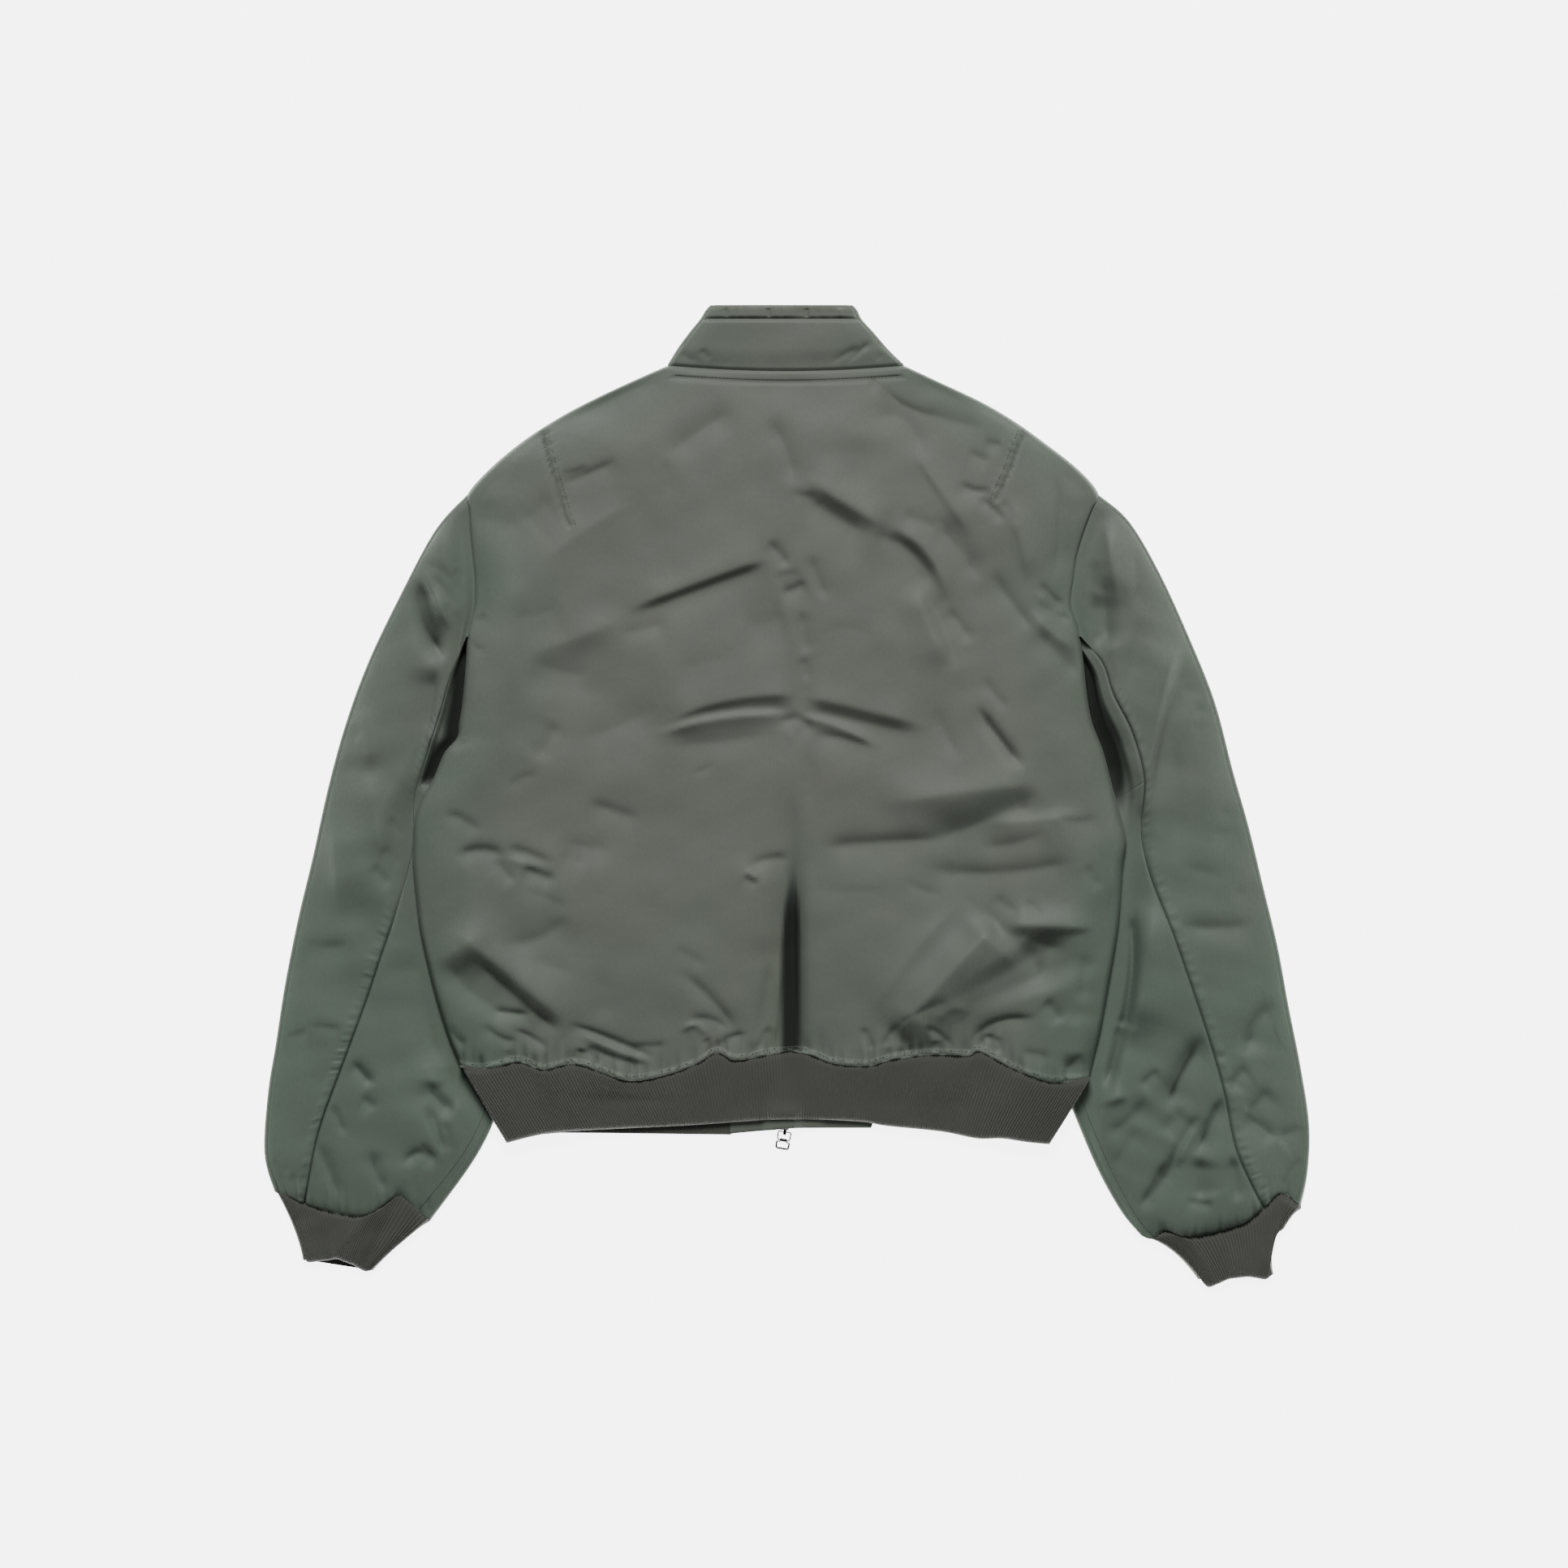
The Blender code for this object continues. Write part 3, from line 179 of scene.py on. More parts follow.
# %% Folds of the back
FADES = (0.3, 0.3)
BACK_FOLDS = (
    (-12, 213, -75, 191, -148, 164, 6, 18, 3.9, 0.2, 0.3),  # long crease, left of the middle
    (-14, 206, -75, 184, -148, 156, 20, 6.2, -2.6, 0.2, 0.3),
    (-140, 161, -180, 143, -240, 122, 16, 18, 3.7, 0.3, 0.4),
    (-228, 120, -200, 110, -168, 108, 11.2, 15, -2.4, 0.3, 0.4),
    (-152, 144, -130, 147, -103, 155, 7.5, 17.8, -2),
    (-105, 112, -75, 118, -45, 125, 15, 15, -1.2, 0.4, 0.4),
    (-19, 226, -7, 215, 1, 201, 5, 6.6, -2.7),  # where it ends, and short ones near the middle
    (-8, 180, 6, 184, 18, 190, 4, 9.5, -2.5),
    (-14, 193, 0, 196, 14, 197, 4, 9.5, -1),
    (-42, 148, -25, 152, 2, 160, 15, 28.5, -2.4),
    (19, 216, 25, 196, 36, 172, 6, 5, -2.2),
    (14, 166, 13, 146, 18, 124, 7, 5, -2.2),
    (13, 124, 16, 112, 18, 100, 6.1, 5, -1.4, 0.3, 0.4),
    (25, 137, 52, 149, 82, 136, 7.5, 17.8, -1.2, 0.4, 0.4),
    (-18, 336, -2, 306, 6, 272, 10, 7, -3.1),  # below the neck
    (3, 270, 14, 266, 27, 266, 4, 9.5, -1.4),
    (-42, 342, -75, 326, -112, 297, 17.5, 12.5, -3.2, 0.3, 0.35),
    (-107, 301, -107, 290, -104, 262, 4.1, 3, -0.8, 0.3, 0.4),
    (62, 322, 64, 290, 60, 256, 17.5, 20, -2, 0.3, 0.4),
    (14, 284, 48, 261, 92, 236, 16, 12, 5.8),  # long fold to the right, its crest and its foot
    (84, 241, 123, 215, 143, 168, 14, 7, 4.4),
    (10, 270, 38, 250, 78, 228, 15, 20, -5),
    (70, 229, 106, 219, 134, 178, 7.5, 15, -3.5),
    (112, 190, 124, 155, 146, 114, 8, 14, 3.4),
    (122, 188, 136, 152, 152, 110, 10, 7, -2.9),
    (139, 168, 152, 153, 164, 135, 6, 7.8, -2.2),
    (103, 175, 104, 140, 112, 98, 13.1, 10, -1.6, 0.4, 0.3),
    (98, 249, 116, 245, 134, 236, 5, 11.6, -1.5),  # diagonals from the right shoulder
    (126, 249, 146, 231, 173, 188, 10, 13.1, -3.6),
    (112, 304, 137, 267, 164, 228, 12, 3, 1.8),
    (72, 330, 102, 334, 124, 294, 10, 16.4, -2.6, 0.3, 0.35),
    (84, 370, 100, 348, 140, 335, 5, 10.5, -2.2),
    (120, 342, 145, 333, 178, 325, 7.5, 17.8, -2),
    (73, 369, 77, 367, 82, 366, 3, 7.1, -1.2),
    (178, 203, 198, 172, 222, 142, 6, 7.6, -2.4),
    (216, 150, 236, 128, 262, 104, 12.5, 10, -4),
    (214, 166, 232, 146, 258, 128, 7, 7, 2.4),
    (172, 106, 184, 89, 197, 76, 4, 5.4, -1.5),
    (174, 314, 183, 312, 191, 312, 3, 7.1, -1.5),  # round the end of the right dart
    (158, 304, 168, 301, 180, 296, 4, 9.4, -1.5),
    (150, 278, 165, 271, 183, 271, 3, 7.1, -2.2),
    (166, 261, 177, 259, 193, 242, 2.5, 5.1, -2.2),
    (186, 262, 196, 252, 202, 238, 2.5, 3.1, -1.5),
    (186, 263, 203, 236, 213, 188, 12, 4, 2.4),
    (236, 287, 240, 248, 236, 188, 7.2, 5, -2.7),  # down to the right armpit
    (222, 191, 234, 176, 248, 168, 3, 4.5, -2.5),
    (225, 176, 236, 167, 250, 163, 3, 6.6, -1.7),
    (228, 172, 240, 161, 254, 158, 3, 6.5, -1.9),
    (220, 186, 232, 168, 250, 161, 3, 3, 1.8),
    (-206, 275, -180, 284, -146, 299, 5, 11.9, -2.5),  # left shoulder
    (-204, 286, -190, 287, -176, 292, 3, 7.1, -1.2),
    (-285, 250, -255, 243, -228, 243, 17.5, 12.5, -1.6, 0.4, 0.3),
    (-236, 240, -222, 252, -205, 264, 10, 19, -1.4),
    (-130, 261, -172, 240, -222, 202, 14, 12, 2.3),
    (-248, 158, -225, 160, -196, 168, 12.5, 23.8, -2),
    (-246, 222, -242, 150, -250, 60, 26, 14, 3.4, 0.3, 0.4),
    (-282, 162, -275, 157, -267, 162, 3, 7.1, -1.4),
    (-279, 139, -276, 131, -271, 135, 3, 6.6, -1.4),
    (-152, 368, -195, 347, -231, 303, 16.6, 8.8, -1, 0.4, 0.4),
    (13, 44, 19, 20, 17, -22, 6.9, 5, -1.5, 0.3, 0.4),
    (2, 24, 5, -110, 2, -242, 10, 14, -12, 0.55, 0.01),
    (14, -60, 18, -150, 18, -225, 30, 5, 2.5, 0.3, 0.2),
    (-9, -140, -9, -180, -13, -226, 4, 4, 2.5),
    (-17, -142, -19, -175, -27, -218, 9.9, 5, -2.7),
    (-22, -50, -24, -100, -20, -145, 16, 30, 3.4),
    (-37, -64, -20, -56, 4, -55, 4, 9.5, -2.4),
    (-40, -70, -33, -74, -24, -78, 3, 6.6, -1.9),
    (-36, -64, -32, -70, -25, -72, 2.5, 3, 1.6),
    (-116, 62, -55, 85, 14, 90, 26, 7, 4.6, 0.25, 0.2),
    (8, 90, 60, 79, 132, 60, 24, 10, 5.2, 0.2, 0.3),
    (-122, 52, -60, 69, 6, 72, 5, 9, 4.4, 0.25, 0.2),
    (4, 71, 44, 62, 84, 41, 5, 8, 4),
    (-100, 68, -50, 76, 10, 77, 5, 11.9, -1.7, 0.3, 0.2),
    (10, 77, 50, 69, 124, 53, 7.5, 17.8, -2.5, 0.2, 0.3),
    (-10, 59, 6, 70, 26, 54, 4, 9.5, -2.2),
    (20, 55, 50, 51, 80, 41, 4, 9.5, -2),
    (-110, 44, -60, 48, -6, 56, 8.8, 16.6, -2),
    (-202, 68, -212, 48, -224, 30, 10, 12.5, -2.4),
    (-112, 78, -150, 62, -186, 50, 21.4, 11.2, -2.2),
    (-300, 47, -292, 49, -284, 43, 3, 7.1, -1.5),
    (-246, 4, -236, 16, -217, 19, 3, 7.1, -0.8),
    (-180, -4, -156, -12, -126, -22, 5, 11.8, -2, 0.3, 0.35),
    (-306, -19, -292, -18, -270, -33, 4, 9.2, -2),
    (-295, -55, -270, -47, -248, -56, 5, 11.9, -3.8),
    (-252, -46, -230, -50, -204, -62, 4, 9.4, -2.5),
    (-236, -62, -222, -68, -203, -75, 5, 11.5, -3.6),
    (-258, -54, -250, -66, -240, -77, 5, 6.6, -2.2),
    (-250, -53, -236, -58, -214, -64, 3, 4, 1.6),
    (-205, -38, -184, -44, -156, -46, 7.5, 17.8, -1.9),
    (-202, -48, -190, -56, -176, -60, 10, 18, -1.4, 0.4, 0.4),
    (-258, -129, -222, -126, -192, -104, 8.8, 16.6, -3),
    (-240, -82, -212, -90, -192, -103, 4, 9.1, -1, 0.4, 0.3),
    (-232, -142, -208, -150, -182, -160, 10, 12.5, -1.6, 0.4, 0.4),
    (-167, -148, -163, -175, -166, -202, 14.2, 10, -1.4, 0.4, 0.3),
    (-85, 20, -75, 24, -64, 30, 1.8, 4.2, -0.8),
    (-304, -114, -247, -156, -186, -210, 26, 20, 9, 0.2, 0.3),
    (-284, -138, -246, -172, -200, -211, 8.8, 21.2, -7.1, 0.25, 0.2),
    (-306, -140, -280, -172, -240, -196, 27.5, 15, -6),
    (-198, -200, -158, -214, -112, -234, 3, 6.9, -3.1),
    (-188, -206, -160, -221, -118, -236, 4, 4, 2.2),
    (-182, -214, -160, -229, -116, -240, 3, 6.9, -2.2),
    (-264, -188, -246, -191, -226, -193, 3, 7.1, -2.7),
    (-303, -202, -293, -214, -282, -222, 4, 5.9, -2),
    (-270, -199, -256, -212, -236, -217, 3, 6.5, -2),
    (-246, -206, -228, -212, -210, -224, 3, 6.6, -2),
    (-246, -224, -247, -229, -246, -235, 3.6, 2.5, -2),
    (-182, -222, -184, -230, -183, -238, 4.5, 3, -3.4),
    (-178, -220, -172, -230, -165, -238, 3, 4, -2),
    (-140, -219, -124, -221, -104, -219, 3, 7.1, -1.5),
    (-100, -153, -71, -176, -42, -212, 5, 7.2, -2.7),
    (-105, -135, -88, -140, -72, -153, 4, 8.6, -1, 0.35, 0.35),
    (-90, -199, -70, -197, -50, -208, 4, 9.5, -1.9),
    (-95, -210, -82, -202, -70, -214, 3, 3, 2),
    (-64, -228, -52, -214, -34, -211, 3, 7.1, -2.2),
    (-73, -213, -70, -220, -67, -228, 2.5, 2.5, -2.2),
    (-28, -228, -22, -214, -16, -202, 2.5, 5.8, -2),
    (166, 82, 185, 54, 211, 22, 4.5, 5.8, -5.1),
    (130, 80, 140, 55, 156, 28, 6, 6.5, -1.4, 0.3, 0.4),
    (74, -8, 144, 2, 228, 13, 20, 24, 7.5, 0.35, 0.25),
    (27, -46, 76, -41, 146, -38, 7.5, 17.8, -3.7, 0.2, 0.3),
    (112, -41, 168, -25, 226, 4, 13.8, 26.1, -5.5, 0.3, 0.2),
    (168, -24, 216, -22, 268, -16, 8, 30, 4.1),
    (166, -42, 195, -43, 232, -30, 7.5, 17.8, -2.7),
    (118, -62, 180, -68, 258, -57, 8.8, 16.6, -3.6, 0.2, 0.2),
    (236, -18, 256, -22, 276, -18, 4, 12.5, -1.7),
    (262, -60, 269, -70, 277, -83, 5, 6.1, -1.4),
    (284, 30, 287, -30, 284, -105, 14, 7, 3),
    (182, -86, 193, -96, 207, -103, 4, 8.2, -1.5),
    (210, -91, 217, -98, 225, -108, 3, 4.1, -1.5),
    (18, -81, 64, -84, 100, -79, 5, 11.9, -0.8, 0.4, 0.4),
    (104, -70, 118, -82, 142, -86, 3.5, 8, -1, 0.3, 0.4),
    (160, -88, 118, -130, 74, -192, 12, 10, 2.5, 0.35, 0.3),
    (160, -124, 132, -150, 98, -188, 8, 9, 1.8),
    (94, -214, 130, -172, 186, -110, 16, 30, 13.6, 0.2, 0.15),
    (206, -126, 220, -150, 230, -176, 44, 40, -8, 0.4, 0.4),
    (94, -208, 112, -193, 144, -179, 4, 9.5, -2.5),
    (118, -204, 134, -210, 145, -224, 3, 6, -2.2),
    (130, -202, 146, -187, 162, -194, 8, 8, 2),
    (90, -222, 91, -229, 90, -236, 3.2, 2.2, -2.2),
    (98, -222, 98, -228, 97, -234, 3.9, 2, -1.9),
    (107, -220, 109, -225, 110, -230, 2.2, 2, -1.9),
    (130, -215, 130, -223, 129, -231, 3.3, 2.2, -2.5),
    (66, -203, 70, -213, 76, -226, 3, 3.1, -2),
    (84, -224, 90, -212, 100, -200, 3, 7.1, -1.9),
    (182, -111, 225, -115, 276, -116, 14, 26, 10.2),
    (190, -118, 220, -128, 250, -141, 11.2, 15, -3.5),
    (205, -121, 240, -122, 275, -121, 7.5, 15, -3),
    (262, -137, 262, -160, 257, -184, 11.6, 6, -2.9),
    (226, -179, 234, -188, 244, -200, 6, 8.2, -2.5),
    (160, -223, 184, -200, 224, -198, 4, 9.5, -3.2),
    (168, -224, 174, -214, 186, -214, 2.5, 6, -2.2),
    (184, -212, 186, -220, 184, -228, 3.6, 2.5, -2),
    (204, -226, 220, -228, 234, -232, 4, 9.5, -1.5),
    (262, -227, 252, -236, 245, -248, 9.5, 4, -1.9),
    (258, -190, 256, -215, 250, -240, 14, 12, 3.4),
)
print(len(BACK_FOLDS), "folds on the back")

# %% [markdown]
# ## Folds of the sleeves
# The sleeves' tables have the same columns. Long folds run down each sleeve, and shorter ones
# cross it where the cloth bunches up above the cuff.

# %% Folds of the sleeves
LEFT_FOLDS = (
    (-289, 257, -302, 241, -320, 220, 12, 4, 3.1),  # shoulder
    (-331, 206, -308, 201, -280, 171, 5, 10.2, -2.6),
    (-325, 200, -322, 158, -300, 116, 10, 9, -11.7),  # deep hollow at the armpit
    (-326, 200, -312, 176, -298, 146, 5, 5, 3.2),
    (-318, 200, -304, 182, -287, 160, 6, 7.9, -2.7),
    (-298, 197, -290, 197, -282, 193, 3, 7.1, -2.2),
    (-305, 172, -294, 158, -285, 149, 3, 4.1, -2),
    (-312, 118, -318, 70, -334, 10, 6, 18, -5.9, 0.2, 0.4),
    (-388, 80, -373, 66, -369, 20, 8, 20, 3.9),  # long fold from the outer edge to the seam
    (-369, 30, -366, -20, -350, -72, 12, 24, 4.7, 0.3, 0.4),
    (-396, 62, -386, 59, -376, 52, 3, 7.5, -1.8),
    (-402, 22, -392, 27, -378, 26, 5, 11.9, -1.3, 0.4, 0.4),
    (-404, -5, -402, -50, -394, -110, 30, 10, 5.2, 0.4, 0.4),
    (-368, -60, -358, -72, -350, -80, 4, 5.6, -2.2),
    (-352, -18, -346, -28, -339, -36, 3, 4, -1.8),
    (-360, -45, -350, -54, -340, -62, 4, 7.6, -1.8),
    (-432, -127, -411, -133, -382, -130, 6, 14.2, -2.6, 0.3, 0.4),
    (-326, -130, -318, -200, -300, -250, 10, 18, -10.4, 0.2, 0.3),  # beside the body
    (-446, -214, -436, -211, -424, -208, 3, 7.1, -2.2),  # lower part, outside the seam
    (-456, -214, -453, -224, -448, -231, 3, 3.2, -1.8),
    (-428, -202, -410, -204, -392, -207, 3, 7.1, -1.6, 0.4, 0.3),
    (-457, -318, -450, -328, -440, -336, 4, 5.7, -2.6),
    (-456, -337, -444, -339, -431, -337, 3, 7.1, -2.2),
    (-387, -235, -377, -243, -366, -257, 4, 5.7, -3.8),  # lower part, inside the seam
    (-378, -266, -371, -270, -364, -277, 4, 7.9, -2.2),
    (-416, -304, -408, -328, -395, -360, 7.5, 3.5, -4),
    (-403, -272, -397, -288, -391, -300, 3, 3.1, -2.2),
    (-367, -312, -364, -334, -352, -352, 7, 5, -4),
    (-316, -250, -311, -266, -293, -281, 8, 10.3, -5.9),  # by the cuff, next to the hem
    (-320, -272, -312, -292, -303, -320, 5, 3.5, -4.4),
    (-306, -286, -300, -302, -300, -318, 3.7, 3, -2.2),
    (-341, -329, -326, -315, -309, -331, 4, 9.5, -3.9),
    (-326, -305, -316, -316, -308, -322, 3, 4.4, -2.7),
)
RIGHT_FOLDS = (
    (277, 254, 285, 218, 293, 160, 14, 5, 4.6, 0.3, 0.35),  # shoulder and armpit
    (270, 212, 266, 190, 262, 165, 8.1, 4, -4.4),
    (279, 198, 281, 165, 284, 130, 8.2, 6, -5.4),
    (273, 182, 272, 158, 279, 126, 12, 9, -9.2),
    (306, 222, 309, 195, 307, 165, 8.6, 6, -1.7),
    (316, 160, 307, 125, 303, 92, 13.1, 8, -1.8, 0.3, 0.4),
    (349, 140, 328, 76, 317, -8, 8, 26, 5.2, 0.2, 0.3),  # from the outer edge to the armpit seam
    (357, 132, 337, 70, 324, -10, 24, 7, -3.4, 0.2, 0.3),
    (314, -4, 304, -48, 291, -114, 10.4, 5, -4.4, 0.2, 0.2),
    (358, 79, 368, 77, 380, 80, 4, 9.5, -2),  # short ones along the outer edge
    (352, 60, 368, 61, 388, 57, 5, 11.9, -1.7, 0.4, 0.3),
    (345, 98, 358, 94, 372, 96, 6, 14.2, -1.4, 0.4, 0.3),
    (378, -12, 392, -14, 406, -10, 4, 9.5, -1.4, 0.4, 0.3),
    (372, -30, 388, -32, 404, -28, 5, 11.9, -1.6, 0.4, 0.3),
    (345, -62, 365, -66, 390, -74, 6, 14.2, -1.6, 0.4, 0.4),
    (390, -90, 404, -85, 424, -80, 5, 11.9, -2.3, 0.4, 0.3),
    (338, -112, 375, -116, 422, -112, 7, 13.3, -4.1),
    (345, 60, 344, 0, 345, -62, 14, 10, -3, 0.4, 0.4),
    (302, -104, 305, -152, 296, -204, 5, 4, -12.6, 0.15, 0.05),  # beside the body
    (298, -192, 290, -224, 281, -262, 4.4, 4.4, -13.5),
    (309, -85, 311, -150, 300, -225, 28, 5, 9.2, 0.3, 0.35),
    (440, -190, 417, -196, 406, -232, 15.4, 8.8, -6.8),  # lower part, outside the seam
    (410, -239, 398, -248, 391, -262, 10.5, 4.4, -3.2),
    (428, -258, 416, -271, 404, -279, 13.1, 5.5, -3.8),
    (402, -279, 417, -291, 435, -305, 5.5, 11, -4.7),
    (431, -305, 446, -297, 466, -296, 4.4, 10.5, -5.1),
    (464, -324, 448, -328, 436, -354, 13.1, 5.5, -5.1),
    (392, -316, 395, -338, 398, -362, 11, 4.4, -3.8),  # lower part, inside the seam
    (374, -212, 352, -236, 333, -282, 13.2, 8.8, -7.2),
    (352, -276, 338, -290, 330, -300, 15.6, 6.6, -2.5),
    (366, -279, 349, -306, 330, -342, 11, 4.4, -4.7),
    (364, -287, 353, -308, 343, -330, 4.4, 6.6, 3.8),
    (387, -264, 372, -292, 361, -320, 9.7, 3.5, -4.3),
    (366, -318, 364, -340, 368, -360, 13.2, 8.8, -4.5),
    (335, -322, 325, -345, 309, -368, 9.7, 3.9, -4.7),
    (350, -357, 364, -360, 379, -361, 3.3, 7.8, -2.5),
    (329, -241, 319, -250, 311, -258, 7.8, 3.3, -2.2),
    (318, -264, 301, -288, 276, -300, 15.6, 6.6, -3.6),
    (310, -290, 299, -312, 286, -333, 15.6, 6.6, -3),
    (303, -262, 288, -268, 266, -272, 4.4, 7.7, 3.6),
)
print(len(LEFT_FOLDS), "folds on the left sleeve and", len(RIGHT_FOLDS), "on the right one")

# %% [markdown]
# ## Material kit
# A Socket wraps a node's output so that shader maths reads like arithmetic, and one method makes
# any other node. Constant values stay on the shader's own sockets, and only values that vary over
# the cloth are linked.

# %% Material kit
class Socket:
    def __init__(self, graph, output):
        self.graph, self.output = graph, output

    def maths(self, kind, first, second):
        return self.graph.node("ShaderNodeMath", {0: first, 1: second}, operation=kind)

    def __add__(self, other):
        return self.maths("ADD", self, other)

    def __sub__(self, other):
        return self.maths("SUBTRACT", self, other)

    def __mul__(self, other):
        return self.maths("MULTIPLY", self, other)


class Graph:
    """A material's node tree with its Principled shader."""

    def __init__(self, name, color, roughness, **values):
        self.material = bpy.data.materials.new(name)
        self.material.use_nodes = True
        self.tree = self.material.node_tree
        self.shader = self.tree.nodes["Principled BSDF"]
        self.shader.inputs["Base Color"].default_value = (*color, 1)
        self.shader.inputs["Roughness"].default_value = roughness
        for socket, value in values.items():
            self.shader.inputs[socket.replace("_", " ")].default_value = value

    def node(self, kind, inputs=None, output=0, **settings):
        made = self.tree.nodes.new(kind)
        for key, value in settings.items():
            setattr(made, key, value)
        for key, value in (inputs or {}).items():
            if isinstance(value, Socket):
                self.tree.links.new(value.output, made.inputs[key])
            else:
                made.inputs[key].default_value = value
        return Socket(self, made.outputs[output])

    def link(self, **values):
        for socket, value in values.items():
            self.tree.links.new(value.output, self.shader.inputs[socket.replace("_", " ")])
        return self.material

    def place(self, scale=(1, 1, 1)):
        """Object coordinates in metres, scaled."""
        here = self.node("ShaderNodeTexCoord", output="Object")
        return self.node("ShaderNodeMapping", {"Vector": here, "Scale": scale})

    def noise(self, scale, detail=2, stretch=(1, 1, 1)):
        inputs = {"Vector": self.place(stretch), "Scale": scale, "Detail": detail}
        return self.node("ShaderNodeTexNoise", inputs)

    def painted(self, name):
        """A number that each vertex carries."""
        return self.node("ShaderNodeAttribute", attribute_name=name, output="Fac")

    def mix(self, factor, first, second):
        """A colour between two, at a varying factor."""
        made = self.tree.nodes.new("ShaderNodeMix")
        made.data_type = "RGBA"
        self.tree.links.new(factor.output, made.inputs["Factor"])
        for socket, value in ((made.inputs[6], first), (made.inputs[7], second)):
            if isinstance(value, Socket):
                self.tree.links.new(value.output, socket)
            else:
                socket.default_value = (*value, 1)
        return Socket(self, made.outputs[2])

    def bump(self, height, distance, strength=1.0, normal=None):
        inputs = {"Height": height, "Distance": distance, "Strength": strength}
        if normal:
            inputs["Normal"] = normal
        return self.node("ShaderNodeBump", inputs)

# %% [markdown]
# ## Nylon, knit, metal and thread
# Flight nylon is a fine satin with a faint rib along the warp. Its two yarns differ in colour, so
# it looks greener where it bends away and greyer where it lies flat. A vertex attribute called
# green carries that as colour, partly a painted sheen, and noise breaks it up. A second one,
# cavity, is painted shade: it darkens deep creases and cloth turned away from the light.
# The knit is matt and darker: its ribs are real geometry, and noise adds the fluff.

# %% Materials
GREY_GREEN, DEEP_GREEN = (0.150, 0.157, 0.136), (0.108, 0.142, 0.112)
SHADE_GREEN, FLECK = (0.012, 0.015, 0.012), (0.055, 0.062, 0.052)
KNIT_DARK, KNIT_LIGHT = (0.049, 0.052, 0.041), (0.070, 0.074, 0.059)
KNIT_FLECK, KNIT_MEAN = (0.025, 0.026, 0.021), (0.05, 0.052, 0.044)
METAL_DARK, METAL_WORN, METAL_MEAN = (0.022, 0.022, 0.023), (0.06, 0.06, 0.062), (0.03, 0.03, 0.032)


def nylon_material():
    satin = {"Sheen_Weight": 0.05, "Sheen_Roughness": 0.45, "Specular_IOR_Level": 0.22}
    g = Graph("nylon_satin", GREY_GREEN, 0.5, **satin)
    patchy = g.painted("green") + (g.noise(9, 3) - 0.5) * 0.9
    patchy = g.node("ShaderNodeMapRange", {"Value": patchy, "From Min": 0.0, "From Max": 1.0})
    color = g.mix(patchy, GREY_GREEN, DEEP_GREEN)
    fleck = g.noise(900, 2, (1, 0.25, 1))
    color = g.mix(fleck * 0.22, color, FLECK)
    # painted shade: creases, deep folds and cloth leaning away from the light darken toward this
    # green
    color = g.mix(g.painted("cavity"), color, SHADE_GREEN)
    warp = {"Vector": g.place((1, 0.02, 1)), "Scale": 130.0, "Distortion": 1.2}
    rib = g.node("ShaderNodeTexWave", warp)
    weave = g.bump(rib, 0.00005, 0.35)
    crumple = g.bump(g.noise(55, 4), 0.0011, 0.35, weave)
    return g.link(Base_Color=color, Roughness=g.noise(40, 3) * 0.12 + 0.52, Normal=crumple)


def knit_material():
    g = Graph("rib_knit_wool", KNIT_MEAN, 0.92, Sheen_Weight=0.25, Sheen_Roughness=0.6)
    color = g.mix(g.noise(30, 3), KNIT_DARK, KNIT_LIGHT)
    color = g.mix(g.noise(1500, 2) * 0.5, color, KNIT_FLECK)
    fluff = g.bump(g.noise(1300, 3), 0.0004, 0.7)
    return g.link(Base_Color=color, Normal=fluff)


def metal_material():
    g = Graph("dark_gunmetal", METAL_MEAN, 0.5, Metallic=0.3, Specular_IOR_Level=0.15)
    worn = g.mix(g.noise(260, 4), METAL_DARK, METAL_WORN)
    return g.link(Base_Color=worn, Roughness=g.noise(500, 3) * 0.25 + 0.4)


def thread_material(name, color):
    g = Graph(name, color, 0.75, Sheen_Weight=0.2)
    shade = tuple(0.6 * part for part in color)
    return g.link(Base_Color=g.mix(g.noise(1200, 2), color, shade))


NYLON, RIB_KNIT, METAL = nylon_material(), knit_material(), metal_material()
THREAD = thread_material("green_thread", (0.085, 0.095, 0.075))
TAPE = thread_material("zip_tape_weave", (0.05, 0.054, 0.044))
print("materials:", [material.name for material in (NYLON, RIB_KNIT, METAL, THREAD, TAPE)])

# %% [markdown]
# ## Simple shapes of height
# Heights are built from a few curves between 0 and 1, and all of them work on whole arrays at
# once. One rises softly, one rises as padded cloth does next to its edge, and one is a bump.

# %% Simple shapes
def smooth(t):
    t = np.clip(t, 0, 1)
    return t * t * (3 - 2 * t)


def swell(t):
    """Rises like a quarter circle from 0 to 1, as padded cloth does next to its edge."""
    t = np.clip(t, 0, 1)
    return np.sqrt(t * (2 - t))


def dome(t):
    """As swell, but it starts at a slope, as an edge does that rolls on to the next side."""
    t = np.clip(t, 0, 1)
    return (t * (2 - t)) ** 0.8


def bell(away, width):
    """1 at the place itself, falling smoothly to both sides."""
    return np.exp(-((away / width) ** 2))


def no_lower(height, floor, softness=0.8):
    """The height, but it levels out softly where it would go through the layer below."""
    return floor + softness * np.logaddexp(0, (height - floor) / softness)


def blend(a, b, t):
    return a + (b - a) * t


for shape in (smooth, swell, dome):
    print(f"{shape.__name__} is {shape(0.5):.2f} at a half")

# %% [markdown]
# ## Folds, ripples and gathers
# A fold follows a curve, and its height falls off with the distance from it. Ripples cover a
# whole panel gently. Gathers are the uneven pinches that a seam makes when one side of it is
# longer than the other.

